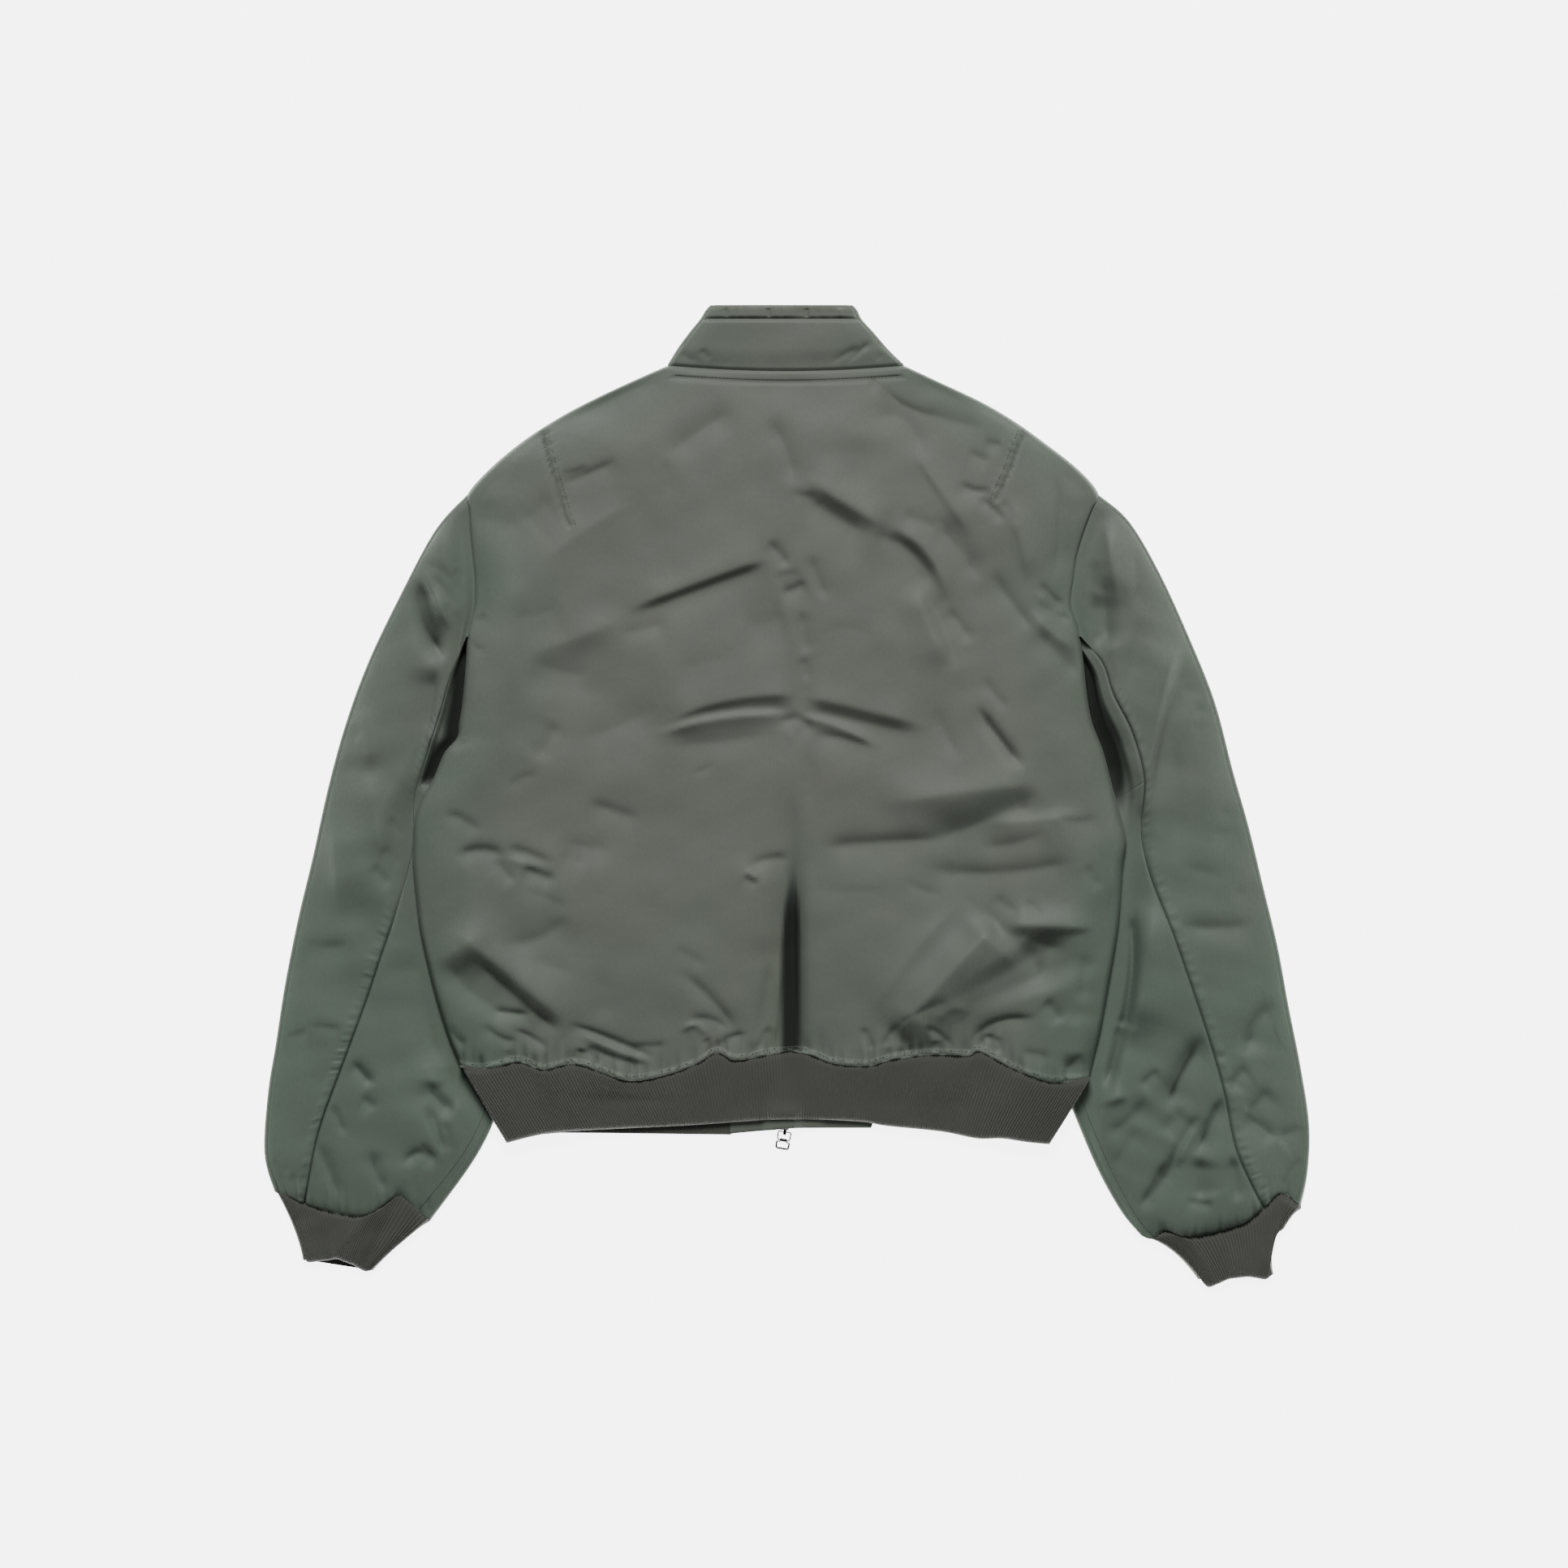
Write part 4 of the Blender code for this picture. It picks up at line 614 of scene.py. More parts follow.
# %% Folds and gathers
def near_line(x, y, line):
    """Distance of places to a line of points, positive on its left, and mm along the line."""
    line = np.array(line, float)
    start, step = line[:-1], np.diff(line, axis=0)
    length = np.hypot(*step.T)
    gone = np.concatenate(([0], np.cumsum(length)))
    far_x, far_y = x[:, None] - start[:, 0], y[:, None] - start[:, 1]
    share = np.clip((far_x * step[:, 0] + far_y * step[:, 1]) / length**2, 0, 1)
    away_x, away_y = far_x - share * step[:, 0], far_y - share * step[:, 1]
    which = np.argmin(away_x**2 + away_y**2, axis=1)
    row = np.arange(len(x))
    side = step[which, 0] * far_y[row, which] - step[which, 1] * far_x[row, which]
    distance = np.hypot(away_x[row, which], away_y[row, which]) * np.where(side < 0, -1, 1)
    return distance, gone[which] + share[row, which] * length[which]


def bent(x0, y0, x1, y1, x2, y2, count=14):
    """Points of a smooth curve from a start through a bend to an end."""
    t = np.linspace(0, 1, count)[:, None]
    start, bend, end = np.array((x0, y0)), np.array((x1, y1)), np.array((x2, y2))
    return (1 - t) ** 2 * start + 2 * t * (1 - t) * (2 * bend - (start + end) / 2) + t**2 * end


def folds(x, y, table):
    """Sum of the table's folds at places. A fold fades in and out along its curve."""
    total = np.zeros_like(x)
    for row in table:
        line, (left, right, height) = bent(*row[:6]), row[6:9]
        fade_in, fade_out = row[9:] or FADES
        reach = 3 * max(left, right)
        low, high = line.min(0) - reach, line.max(0) + reach
        near = (x > low[0]) & (x < high[0]) & (y > low[1]) & (y < high[1])
        if not near.any():
            continue
        away, along = near_line(x[near], y[near], line)
        share = along / np.hypot(*np.diff(line, axis=0).T).sum()
        fade = smooth(share / fade_in) * smooth((1 - share) / fade_out)
        width = np.where(away > 0, left, right)
        total[near] += height * fade * np.exp(-(np.abs(away / width) ** CREASE))
    return total


def ripple(x, y, length, seed):
    """Gentle waves about length mm long, the same in every run."""
    chance = np.random.default_rng(seed)
    total = np.zeros_like(x)
    waves = chance.uniform((0, 0, 0.6), (math.pi, math.tau, 1.6), (7, 3))
    for angle, phase, stretch in waves:
        across = x * math.cos(angle) + y * math.sin(angle)
        total += np.sin(across * math.tau / (length * stretch) + phase)
    return total / 3


def gathers(along, step, seed):
    """Uneven pinches along a seam: 0 between them, down to about -1 in each."""
    chance = np.random.default_rng(seed)
    count = int(np.ptp(along) / step) + 2
    places = along.min() + (np.arange(count) + chance.uniform(-0.35, 0.35, count)) * step
    depths = chance.uniform(0.25, 1.0, count)
    widths = chance.uniform(0.16, 0.3, count) * step
    total = np.zeros_like(along)
    for place, depth, width in zip(places, depths, widths):
        total -= depth * bell(along - place, width)
    return total


def rib_wave(share, ribs):
    """1 on top of a rib and 0 between two ribs, with rounded tops and tight valleys."""
    return 1 - (1 - np.abs(np.sin(math.pi * share * ribs))) ** 1.6


print("a gathered seam every 5 mm:", gathers(np.arange(0, 40, 5.0), 9.0, 3).round(2))

# %% [markdown]
# ## Layers
# Every layer rests on the one below. The fronts are lifted where they lie on a sleeve's inner
# side and over the zip, and the back rests on the fronts. On top of that come the loft of the
# padding, the folds and the gathers, so the back's upper side is one function of x and y.

# %% Layers
def over_sleeves(x, y, from_y, to_y, height, reach):
    """How far a layer is lifted where it lies on the inner side of a sleeve, and beside it."""
    left, right = sides(SLEEVE_SIDES, np.maximum(y, HEM_REST))
    beside = np.minimum(x - left, right - x)
    return height * (1 - smooth((beside - reach) / RAMP)) * smooth((to_y - y) / (to_y - from_y))


def zip_x(y):
    return blend(*FRONT_MIDDLE, (y - FRONT_HEM[0, 1]) / (NECK_Y - FRONT_HEM[0, 1]))


def over_zip(x, y):
    """How far a layer is lifted by the tape, and more so by the slider."""
    tape = (TAPE_THICK + SEAM) * (1 - smooth((abs(x - zip_x(y)) - TAPE_WIDTH / 2 - 4) / 12))
    near = np.maximum(np.maximum(abs(x - SLIDER[0]) - 7, y - SLIDER[1] - 8), 0)
    return np.maximum(tape, ZIP_RISE * (1 - smooth(near / ZIP_RISE_RUN)))


def front_under(x, y):
    return np.maximum(over_sleeves(x, y, 30, 62, TUCK, 12), over_zip(x, y))


def back_rest(x, y):
    """The upper side of the fronts, on which the back rests."""
    lifted = over_sleeves(x, y, ARMHOLE_TOP - 148, ARMHOLE_TOP - 4, TUCK, 22)
    return np.maximum(no_lower(lifted, TAPE_THICK + SEAM), over_zip(x, y)) + WALL + CLEAR


def neck_sag(share):
    return NECK_SAG * 4 * share * (1 - share)


def hem_seam_y(x):
    return at(HEM_SEAM, x)


def hem_shift(x, y):
    """How far a panel's rows near the hem move to end on the wavy seam."""
    return (hem_seam_y(x) - HEM_REST) * smooth((HEM_REST + HEM_RUN - y) / HEM_RUN)


def hem_lift(x):
    """How far the welt stands off at its seam: not in the middle, where the deep fold ends."""
    return HEM_LIFT * (1 - 0.9 * bell(x + 2, 11))


def neck_seam_y(x):
    """y of the back's neck seam, which sags between its ends."""
    left, right = BACK_ROWS[0][1:]
    return NECK_Y - neck_sag((x - left) / (right - left))


PINCH_DEPTH, PINCH_STEP, SEAM_ROLL = 4.6, 9.0, 1.6  # along the hem seam
DART_RIDGE, DART_DIP, NECK_LINE_DIP, ARMHOLE_PINCH = 1.1, 2.6, 1.5, 0.8


def back_top(x, y):
    """The upper side of the back at flat arrays of places."""
    left, right = sides(BACK_EDGES, y)
    inward = blend(1.0, 0.55, smooth((y - 215) / 80)) * np.minimum(x - left, right - x) / EDGE_RUN
    above_hem = y - hem_seam_y(x)
    near_hem = blend((hem_lift(x) + 1.4) / BODY_PUFF, 1.0, smooth(above_hem / HEM_PUFF_RUN))
    puff = BODY_PUFF * dome(inward) * near_hem * dome((NECK_Y - y) / NECK_PUFF_RUN)
    inside = smooth(np.minimum(4 * inward, np.minimum(above_hem / 6, (NECK_Y - y) / 20)))
    waves = 1.5 * ripple(x, y, 130, 1) + 0.25 * ripple(x, y, 42, 2)
    shaped = puff + inside * (folds(x, y, BACK_FOLDS) + waves)
    pinch = PINCH_DEPTH * gathers(x, PINCH_STEP, 3)
    length = 8 + 9 * (1 + np.sin(x * 0.21 + 2 * np.sin(x * 0.05))) / 2
    shaped += pinch * bell(above_hem - 3, length) * smooth((above_hem + 1) / 3)
    shaped += SEAM_ROLL * bell(above_hem - 2.6, 2.4)
    for table, inner, seed in ((LEFT_DART, 1, 11), (RIGHT_DART, -1, 12)):
        away, along = near_line(x, y, table)
        pucker = (0.5 + gathers(along, 6.0, seed)) * (along > 0)
        shaped += DART_RIDGE * bell(inner * away - 4.5, 3.0) * pucker
        shaped -= DART_DIP * bell(away, 1.3) * smooth((table[0][1] + 2 - y) / 10)
    below_neck = neck_seam_y(x) - y
    shaped -= NECK_LINE_DIP * bell(below_neck - 9.5, 1.4) * smooth((105 - abs(x)) / 8)
    away, along = near_line(x, y, ARMHOLE_LINE)
    pucker = gathers(along, 5.5, 13) * (y > BACK_SEAM_TOP - 8)
    shaped += ARMHOLE_PINCH * bell(away - 6, 4.0) * pucker
    return back_rest(x, y) + no_lower(shaped, -2.4) + WALL


middle_height = back_top(np.array([0.0]), np.array([100.0]))[0]
print(f"the middle of the back lies {middle_height:.1f} mm high")

# %% [markdown]
# ## From stations to cloth
# create_grid makes a flat sheet with one vertex for each pair of stations, and a function then
# says where each vertex goes. That keeps faces in even rows, which is what woven cloth wants:
# texture and folds run along the rows. A piece of cloth is named after the CAD node that it
# stands for.

# %% Builders
def read(data, kind="co"):
    """Three numbers of every vertex, a row for each vertex."""
    flat = np.empty(len(data.vertices) * 3, np.float32)
    data.vertices.foreach_get(kind, flat)
    return flat.reshape(-1, 3)


def write(data, points):
    """Moves the vertices to points given in mm from the middle of the jacket."""
    data.vertices.foreach_set("co", (points * MM).astype(np.float32).ravel())
    data.update()


def paint(data, name, values):
    layer = data.attributes.get(name) or data.attributes.new(name, "FLOAT", "POINT")
    layer.data.foreach_set("value", values.astype(np.float32))


def mesh_from(shape, name):
    data = bpy.data.meshes.new(name)
    shape.to_mesh(data)
    shape.free()
    return data


def cloth(name, columns, rows, place, material):
    """A sheet with a vertex for each column and row; place turns their numbers into x, y, z."""
    last_column, last_row = len(columns) - 1, len(rows) - 1
    shape = bmesh.new()
    bmesh.ops.create_grid(shape, x_segments=last_column, y_segments=last_row, size=0.5)
    data = mesh_from(shape, name)
    flat = read(data)
    column = np.rint((flat[:, 0] + 0.5) * last_column).astype(int)
    row = np.rint((flat[:, 1] + 0.5) * last_row).astype(int)
    points = np.stack(place(np.asarray(columns)[column], np.asarray(rows)[row]), axis=1)
    heights = np.zeros((len(rows), len(columns)))
    heights[row, column] = points[:, 2]
    # painted shade for the creases that this sheet's own heights make
    paint(data, "cavity", cavity(heights)[row, column])
    write(data, points - MIDDLE)
    print(f"{name}: heights {points[:, 2].min():.1f} to {points[:, 2].max():.1f} mm")
    return finish_piece(name, data, material, name.rsplit("_", 1)[0])


def cavity(heights):
    """Painted crease shade, 0 to 1: how deep each place lies between higher places on both sides.
    """
    total = np.zeros_like(heights)
    for reach in (3, 6, 9):
        for axis, count in enumerate(heights.shape):
            places = [np.clip(np.arange(count) + way, 0, count - 1) for way in (reach, -reach)]
            beside = [np.take(heights, place, axis) for place in places]
            total += np.maximum(np.minimum(*beside) - heights, 0)
    return smooth((total - CREASE_SHADE_START) / CREASE_SHADE_DEPTH)


def finish_piece(name, data, material, *nodes, body="garment"):
    """Shows the mesh, riding on a body, in place of the CAD nodes that it stands for."""
    data.shade_smooth()
    data.materials.append(material)
    obj = bpy.data.objects.new(name, data)
    bpy.context.scene.collection.objects.link(obj)
    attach(obj, body)
    if nodes:
        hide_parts(*nodes)
    print(f"{name}: {len(data.polygons)} faces")
    return obj


def spaced(start, end, step):
    """Even places from start to end, no closer than step."""
    return np.linspace(start, end, max(2, int(abs(end - start) / step) + 1))


EDGE_STEPS = (0.0, 0.25, 0.8, 1.7, 2.9, 4.4, 6.2, 8.0)
EDGE_BAND, MIDDLE_MARK, LAST_MARK = EDGE_STEPS[-1], 10, 28


def across_panel(mark, left, right):
    """x of a column mark. Up to 8 it is mm from the left edge, and from 20 on it is 28 less the mm
    from the right edge. From 10 to 11 it is 10 and a share of what lies between those bands."""
    inner = blend(left + EDGE_BAND, right - EDGE_BAND, np.clip(mark - MIDDLE_MARK, 0, 1))
    near_right = mark >= LAST_MARK - EDGE_BAND
    x = np.where(near_right, right - (LAST_MARK - mark), inner)
    return np.where(mark <= EDGE_BAND, left + mark, x)


def panel_marks(step_share):
    """Column marks for across_panel: fine steps at both edges and even shares between them."""
    middle = MIDDLE_MARK + np.arange(step_share, 1, step_share)
    return np.concatenate((EDGE_STEPS, middle, LAST_MARK - np.array(EDGE_STEPS[::-1])))

# %% [markdown]
# ## The back
# The back is one panel from the neck seam to the hem seam. Its rows follow the sagging neck at
# one end and the wavy hem seam at the other. Sewn edges dip a little, as turned-in cloth does,
# and free edges roll down to the layer below.

# %% Back
def roll_down(top, low, inward, radius):
    """Heights near an edge that turns down to low on a quarter circle."""
    return blend(low, top, swell(inward / radius))


def seam_dip(away, depth=1.4, width=1.6):
    return -depth * bell(away, width)


def back_place(mark, y):
    left, right = sides(BACK_EDGES, y)
    x = across_panel(mark, left, right)
    share = (x - left) / (right - left)
    sag = neck_sag(share) * smooth((y - NECK_Y + NECK_SAG_RUN) / NECK_SAG_RUN)
    y_here = y - sag + hem_shift(x, y)
    inward = np.minimum(x - left, right - x)
    top, rest = back_top(x, y_here), back_rest(x, y_here)
    armhole = (y < ARMHOLE_TOP) & (y > BACK_SEAM_TOP)
    rolled = roll_down(top, rest - WALL - CLEAR + 0.5, inward, 5.0)
    z = np.where(armhole, top + seam_dip(inward, 2.4, 1.6), rolled) + seam_dip(NECK_Y - y, 1.5, 1.4)
    hem_low = np.maximum(rest + KNIT + hem_lift(x) + 0.4, z - 1.1)
    return x, y_here, np.maximum(roll_down(z, hem_low, y - HEM_REST, 1.5), 0.3)


back_rows = np.concatenate((
    spaced(HEM_REST, -232, 0.8), spaced(-230, -190, 1.6)[1:], spaced(-188, 374, 2.4),
    spaced(375, NECK_Y, 0.9),
))
back = cloth("back_cloth", panel_marks(1 / 250), back_rows, back_place, NYLON)

# %% [markdown]
# ## Fronts and plackets
# These lie underneath, flat on the table, so they are plain sheets on the same plans as the back,
# a little inside its edge. Each placket is the doubled strip that carries the zip, and the knit
# below each front is the front half of the welt.

# %% Fronts
def front_neck_y(x):
    return NECK_Y - FRONT_NECK_DROP * np.maximum(0, 1 - ((x + 1.5) / 106) ** 2)


def there_and_back(way, turn):
    """Down a doubled strip's outer side from 0 to 1, then round its lower edge and up inside it."""
    v = np.where(way <= 1, way, 2 - way)
    return v, blend(0.5, np.where(way <= 1, 0.0, 1.0), swell((1 - v) / turn))


EDGE_WAY = np.array((0.95, 0.97, 0.985, 0.995, 0.9995, 1.0005, 1.005, 1.015, 1.03, 1.05))
WELT_WAY = np.concatenate((spaced(0, 0.9, 0.1), EDGE_WAY, spaced(1.1, 1.8, 0.1)))
PLACKET_WAY = np.concatenate((
    spaced(0, 0.99, 0.008), (EDGE_WAY - 1) / 10 + 1, spaced(1.01, 1.1, 0.01),
))
PLACKET_LENGTH, WELT_DEPTH, TURN_LENGTH = 630, 60, 3.0
FRONT_RIBS, FRONT_RIB_DEPTH = 62, 0.4


def front_pieces(side):
    column, label = COLUMN[side], LABEL[side]
    seam = PLACKET_SIDES[column - 1]

    def panel(u, y):
        x = blend(at(FRONT_EDGES, y, column), seam + side * SEAM, u)
        highest = front_neck_y(x) - SEAM + np.minimum(0, y - NECK_Y) * 0.3
        y_here = np.minimum(y + hem_shift(x, y), highest)
        return x, y_here, front_under(x, y_here)

    def placket(u, way):
        v, lift = there_and_back(way, TURN_LENGTH / PLACKET_LENGTH)
        x = blend(seam, zip_x(blend(338, -294, v)), u)
        y = blend(front_neck_y(x) - SEAM, at(FRONT_HEM, x - side * 0.5), v)
        return x, y, front_under(x, y) + WALL * lift

    def welt(u, way):
        v, lift = there_and_back(way, TURN_LENGTH / WELT_DEPTH)
        x_top = blend(FRONT_EDGES[-1, column], seam - side * 0.5, u)
        x_low = blend(FRONT_HEM[0 if side < 0 else -1, 0], seam - side * 0.5, u)
        x = blend(x_top, x_low, v)
        y = blend(hem_seam_y(x_top) - SEAM, at(FRONT_HEM, x_low), v)
        ribs = FRONT_RIB_DEPTH * (rib_wave(u, FRONT_RIBS) - 1)
        return x, y, front_under(x, y) + (KNIT - FRONT_RIB_DEPTH) * lift + ribs * lift

    panel_rows, rib_columns = spaced(HEM_REST, NECK_Y, 5), spaced(0, 1, 1 / (6 * FRONT_RIBS))
    cloth(f"front_{label}_cloth", spaced(0, 1, 1 / 70), panel_rows, panel, NYLON)
    cloth(f"placket_{label}_cloth", spaced(0, 1, 1 / 24), PLACKET_WAY, placket, NYLON)
    cloth(f"hem_front_{label}_knit", rib_columns, WELT_WAY, welt, RIB_KNIT)


for side in (LEFT, RIGHT):
    front_pieces(side)

# %% [markdown]
# ## The knitted welt
# A rib is a column of raised stitches between two sunk ones, so the whole welt is one sheet whose
# height follows a wave across. The lower edge is the fold of the doubled knit, and turns down in
# a quarter circle. Its upper edge runs a little under the back, so that no gap shows.

# %% Welt
HEM_RIBS, RIB_STEPS, HEM_RIB_DEPTH, WELT_LOFT = 206, 6, 1.15, 1.6
HEM_FOLDS = (
    (-223, -259, -160, -268, -79, -265, 4, 6, -1.6),  # faint crease along the welt's left half
    (60, -262, 120, -270, 200, -268, 5, 6, -0.9),
)


def hem_place(u, v):
    x_top = blend(HEM_SEAM[0, 0], HEM_SEAM[-1, 0], u)
    x_low = blend(HEM_EDGE[0, 0], HEM_EDGE[-1, 0], u)
    x = blend(x_top, x_low, v)
    y_low = at(HEM_EDGE, x_low)
    y = blend(hem_seam_y(x_top) - SEAM, y_low, v)
    below = (1 - v) * (hem_seam_y(x_top) - y_low)
    rest, full = back_rest(x, y), swell(below / 9)
    loft = WELT_LOFT * full + hem_lift(x) * smooth(below / 56)
    wave = folds(x, y, HEM_FOLDS) + 0.6 * ripple(x, y, 46, 21) * full
    z = rest + KNIT + loft + wave + HEM_RIB_DEPTH * (rib_wave(u, HEM_RIBS) - 1)
    z = roll_down(z, rest - 0.2, below, 3.2)
    inward = np.minimum(x - HEM_EDGE[0, 0], HEM_EDGE[-1, 0] - x) + 40 * (1 - v)
    z = roll_down(z, rest - WALL, np.maximum(inward, 0), 4.0)
    tucked = v == 0
    return x, y + UNDERLAP * tucked, z - 1.2 * smooth((0.06 - v) / 0.06) - 1.2 * tucked


hem_columns = np.linspace(0, 1, HEM_RIBS * RIB_STEPS + 1)
hem_rows = np.concatenate((
    (0.0,), spaced(0.002, 0.12, 0.025), spaced(0.17, 0.85, 0.068),
    1 - np.array((0.1, 0.06, 0.035, 0.018, 0.007, 0.0)),
))
cloth("hem_back_knit", hem_columns, hem_rows, hem_place, RIB_KNIT)

# %% [markdown]
# ## The sleeves' plan and height
# A sleeve is a flattened tube. A place on it is w, from 0 at the outer fold to 1 at the inner
# fold, and v, from 0 at the armhole to 1 at the cuff. Its height is full where it shows, and low
# under the body.

# %% Sleeves
SLEEVES = {LEFT: LEFT_SLEEVE, RIGHT: RIGHT_SLEEVE}
SLEEVE_FOLDS = {LEFT: LEFT_FOLDS, RIGHT: RIGHT_FOLDS}
CUFF_WAVE = {
    LEFT: rounded((
        (0.0, 0), (0.2, -7), (0.45, -10), (0.62, -5), (0.79, 15), (0.9, 6), (1.0, 0),
    )),
    RIGHT: rounded((
        (0.0, 0), (0.13, 14), (0.24, 3), (0.38, -8), (0.7, -10), (0.85, 0), (0.93, -5), (1.0, 0),
    )),
}
BACK_SEAM_SHARES = {LEFT: (0.66, 0.2), RIGHT: (0.66, 0.24)}
SLEEVE_LENGTH, BACK_SEAM_LENGTH = 442.0, 572.0
CUFF_PINCH, SEAM_RIDGE, SEAM_PINCH = 2.2, 1.0, 1.8
ARMHOLE_SHARE, CUFF_SHARE = 0.12, 0.16  # of the length, over which both ends are fitted
WELT_SIDE = 247.0  # x of the welt's sides


def row_between(rows, v):
    """The row of a table at shares down it, as six arrays. The table was rounded, so lines do."""
    place = np.clip(v, 0, 1) * (len(rows) - 1)
    return [np.interp(place, np.arange(len(rows)), column) for column in rows.T]


def back_seam_w(side, v):
    return blend(*BACK_SEAM_SHARES[side], smooth(0.15 + 0.85 * v))


def sleeve_width(side, v):
    outer_x, outer_y, seam_x, seam_y, inner_x, inner_y = row_between(SLEEVES[side], v)
    to_seam = np.hypot(outer_x - seam_x, outer_y - seam_y)
    return to_seam + np.hypot(seam_x - inner_x, seam_y - inner_y)


def sleeve_plan(side, w, v, up=True):
    """x and y on a sleeve. Its upper side ends on the wavy cuff seam, its underside straight."""
    rows = SLEEVES[side]
    outer_x, outer_y, seam_x, seam_y, inner_x, inner_y = row_between(rows, v)
    seam_w = back_seam_w(side, v)
    outer, share = w < seam_w, (w - seam_w) / (1 - seam_w)

    def across(from_outer, middle, to_inner):
        inner = blend(middle, to_inner, share)
        return np.where(outer, blend(from_outer, middle, w / seam_w), inner)

    x, y = across(outer_x, seam_x, inner_x), across(outer_y, seam_y, inner_y)
    start = rows[0]
    armhole_x = at(SLEEVE_SIDES, across(start[1], start[3], start[5]), COLUMN[side])
    fitted = armhole_x - across(start[0], start[2], start[4])
    near_cuff = smooth(1 - (1 - v) / CUFF_SHARE)
    x = x + (1 - smooth(v / ARMHOLE_SHARE)) * fitted
    return x, y + up * at(CUFF_WAVE[side], w) * near_cuff


def sleeve_crest(side, w, v):
    """Height of a sleeve's upper side: full where it shows, low where the body lies on it."""
    x, y = sleeve_plan(side, w, v)
    width, seam_w = sleeve_width(side, v), back_seam_w(side, v)
    edge = at(BACK_EDGES, y, COLUMN[side])
    beside_welt = blend(edge, side * WELT_SIDE, smooth((HEM_REST - y) / 62))
    outside = side * (x - np.where(y < HEM_REST, beside_welt, edge))
    below_welt = HEM_EDGE[0, 1] - y
    outside = np.where(below_welt > 0, np.maximum(outside, below_welt), outside)
    seen = smooth((outside - 1) / 30)
    rolled = dome((w * width - TUBE / 2) / 50) * dome(((1 - w) * width - TUBE / 2) / 50)
    to_cuff, along, away = (1 - v) * SLEEVE_LENGTH, v * BACK_SEAM_LENGTH, (w - seam_w) * width
    shaped = SLEEVE_PUFF + folds(x, y, SLEEVE_FOLDS[side])
    shaped += 1.4 * ripple(x, y, 100, 30 + side) + 0.3 * ripple(x, y, 36, 33 + side)
    own = TUBE + seen * rolled * swell(to_cuff / 40) * no_lower(shaped, -2.0)
    pucker = gathers(w * width, 8, 36 + side)
    own += seen * CUFF_PINCH * pucker * bell(to_cuff, 15) * smooth(to_cuff / 2)
    ridge = SEAM_RIDGE + SEAM_PINCH * gathers(along, 6.5, 40 + side)
    own += seen * ridge * bell(away + 4.5, 3.2) * smooth(-away / 1.5)
    own += seen * seam_dip(away, 1.9, 1.0)
    start_x, start_y = sleeve_plan(side, w * back_seam_w(side, 0) / seam_w, 0 * v)
    joined = (1 - smooth(np.hypot(x - start_x, y - start_y) / 20)) * smooth(w * width / 12)
    body = back_top(start_x - side * 0.5, start_y)
    z = np.where(w > seam_w + 1e-6, own, blend(own, body, joined))
    return z - pocket(side, y, away)


def pocket(side, y, inside):
    """How far the gusset sinks beside the body, at mm inside of the back seam."""
    if side < 0:
        return 5.6 * smooth(inside / 5) * smooth((y - 5) / 12) * smooth((152 - y) / 10)
    return 6.9 * smooth((inside - 10) / 7) * smooth((y + 30) / 60) * smooth((156 - y) / 6)


edge_height = sleeve_crest(LEFT, np.array([0.3]), np.array([0.5]))[0]
print(f"the left sleeve lies {edge_height:.1f} mm high, halfway down")

# %% [markdown]
# ## Round the sleeves
# The top sleeve wraps both folds and most of the underside, and the under sleeve with its gusset
# fills the gap between the back seam and the front seam. A station is a piece, a share across
# that piece and a turn: 90 degrees faces up, -90 faces down and the rest round a fold.

# %% Round the sleeves
FRONT_SEAM = 12.0  # mm from the inner fold
SLEEVE_START, GUSSET_END, CROSS_GAP = 0.0022, 4 / 13, 0.0004  # as shares down the sleeve
GUSSET_LAST, UNDER_START = GUSSET_END - CROSS_GAP, GUSSET_END + CROSS_GAP
CROSS_DIP = 0.8  # how far the cross seam lies lower
TOP, WHOLE, FRONT, UNDER = range(4)
FOLD_TURNS = (82, 66, 48, 30, 12, -8, -30, -55, -90)


def tube_point(plan, crest, width, w, turn, v):
    """x, y, z on a flattened tube, which turns on half its height round both folds."""
    radius = TUBE / 2
    inset = radius / width
    x, y = plan(np.clip(w, inset, 1 - inset), v, turn > 0)
    tip_x, tip_y = plan(np.where(w < 0.5, 0.0, 1.0), v, turn > 0)
    reach = radius * np.cos(np.radians(turn)) / np.maximum(np.hypot(tip_x - x, tip_y - y), 1e-6)
    flat = (np.abs(turn) == 90) & (w > inset) & (w < 1 - inset)
    flat_z = np.where(turn > 0, crest(np.clip(w, inset, 1 - inset), v), 0.0)
    round_z = radius + radius * np.sin(np.radians(turn))
    return (
        np.where(flat, x, x + (tip_x - x) * reach),
        np.where(flat, y, y + (tip_y - y) * reach),
        np.where(flat, flat_z, round_z),
    )


def across_sleeve(side, kind, share, v):
    width = sleeve_width(side, v)
    back_w, gap, fold = back_seam_w(side, v), SEAM / 2 / width, TUBE / 2 / width
    front_w = 1 - FRONT_SEAM / width
    return np.choose(kind, (
        blend(fold, back_w - gap, share),
        share,
        blend(front_w + gap, 1 - fold, share),
        blend(back_w + gap, front_w - gap, share),
    ))


def stations(kind, shares, turn=90):
    return [(kind, share, turn) for share in shares]


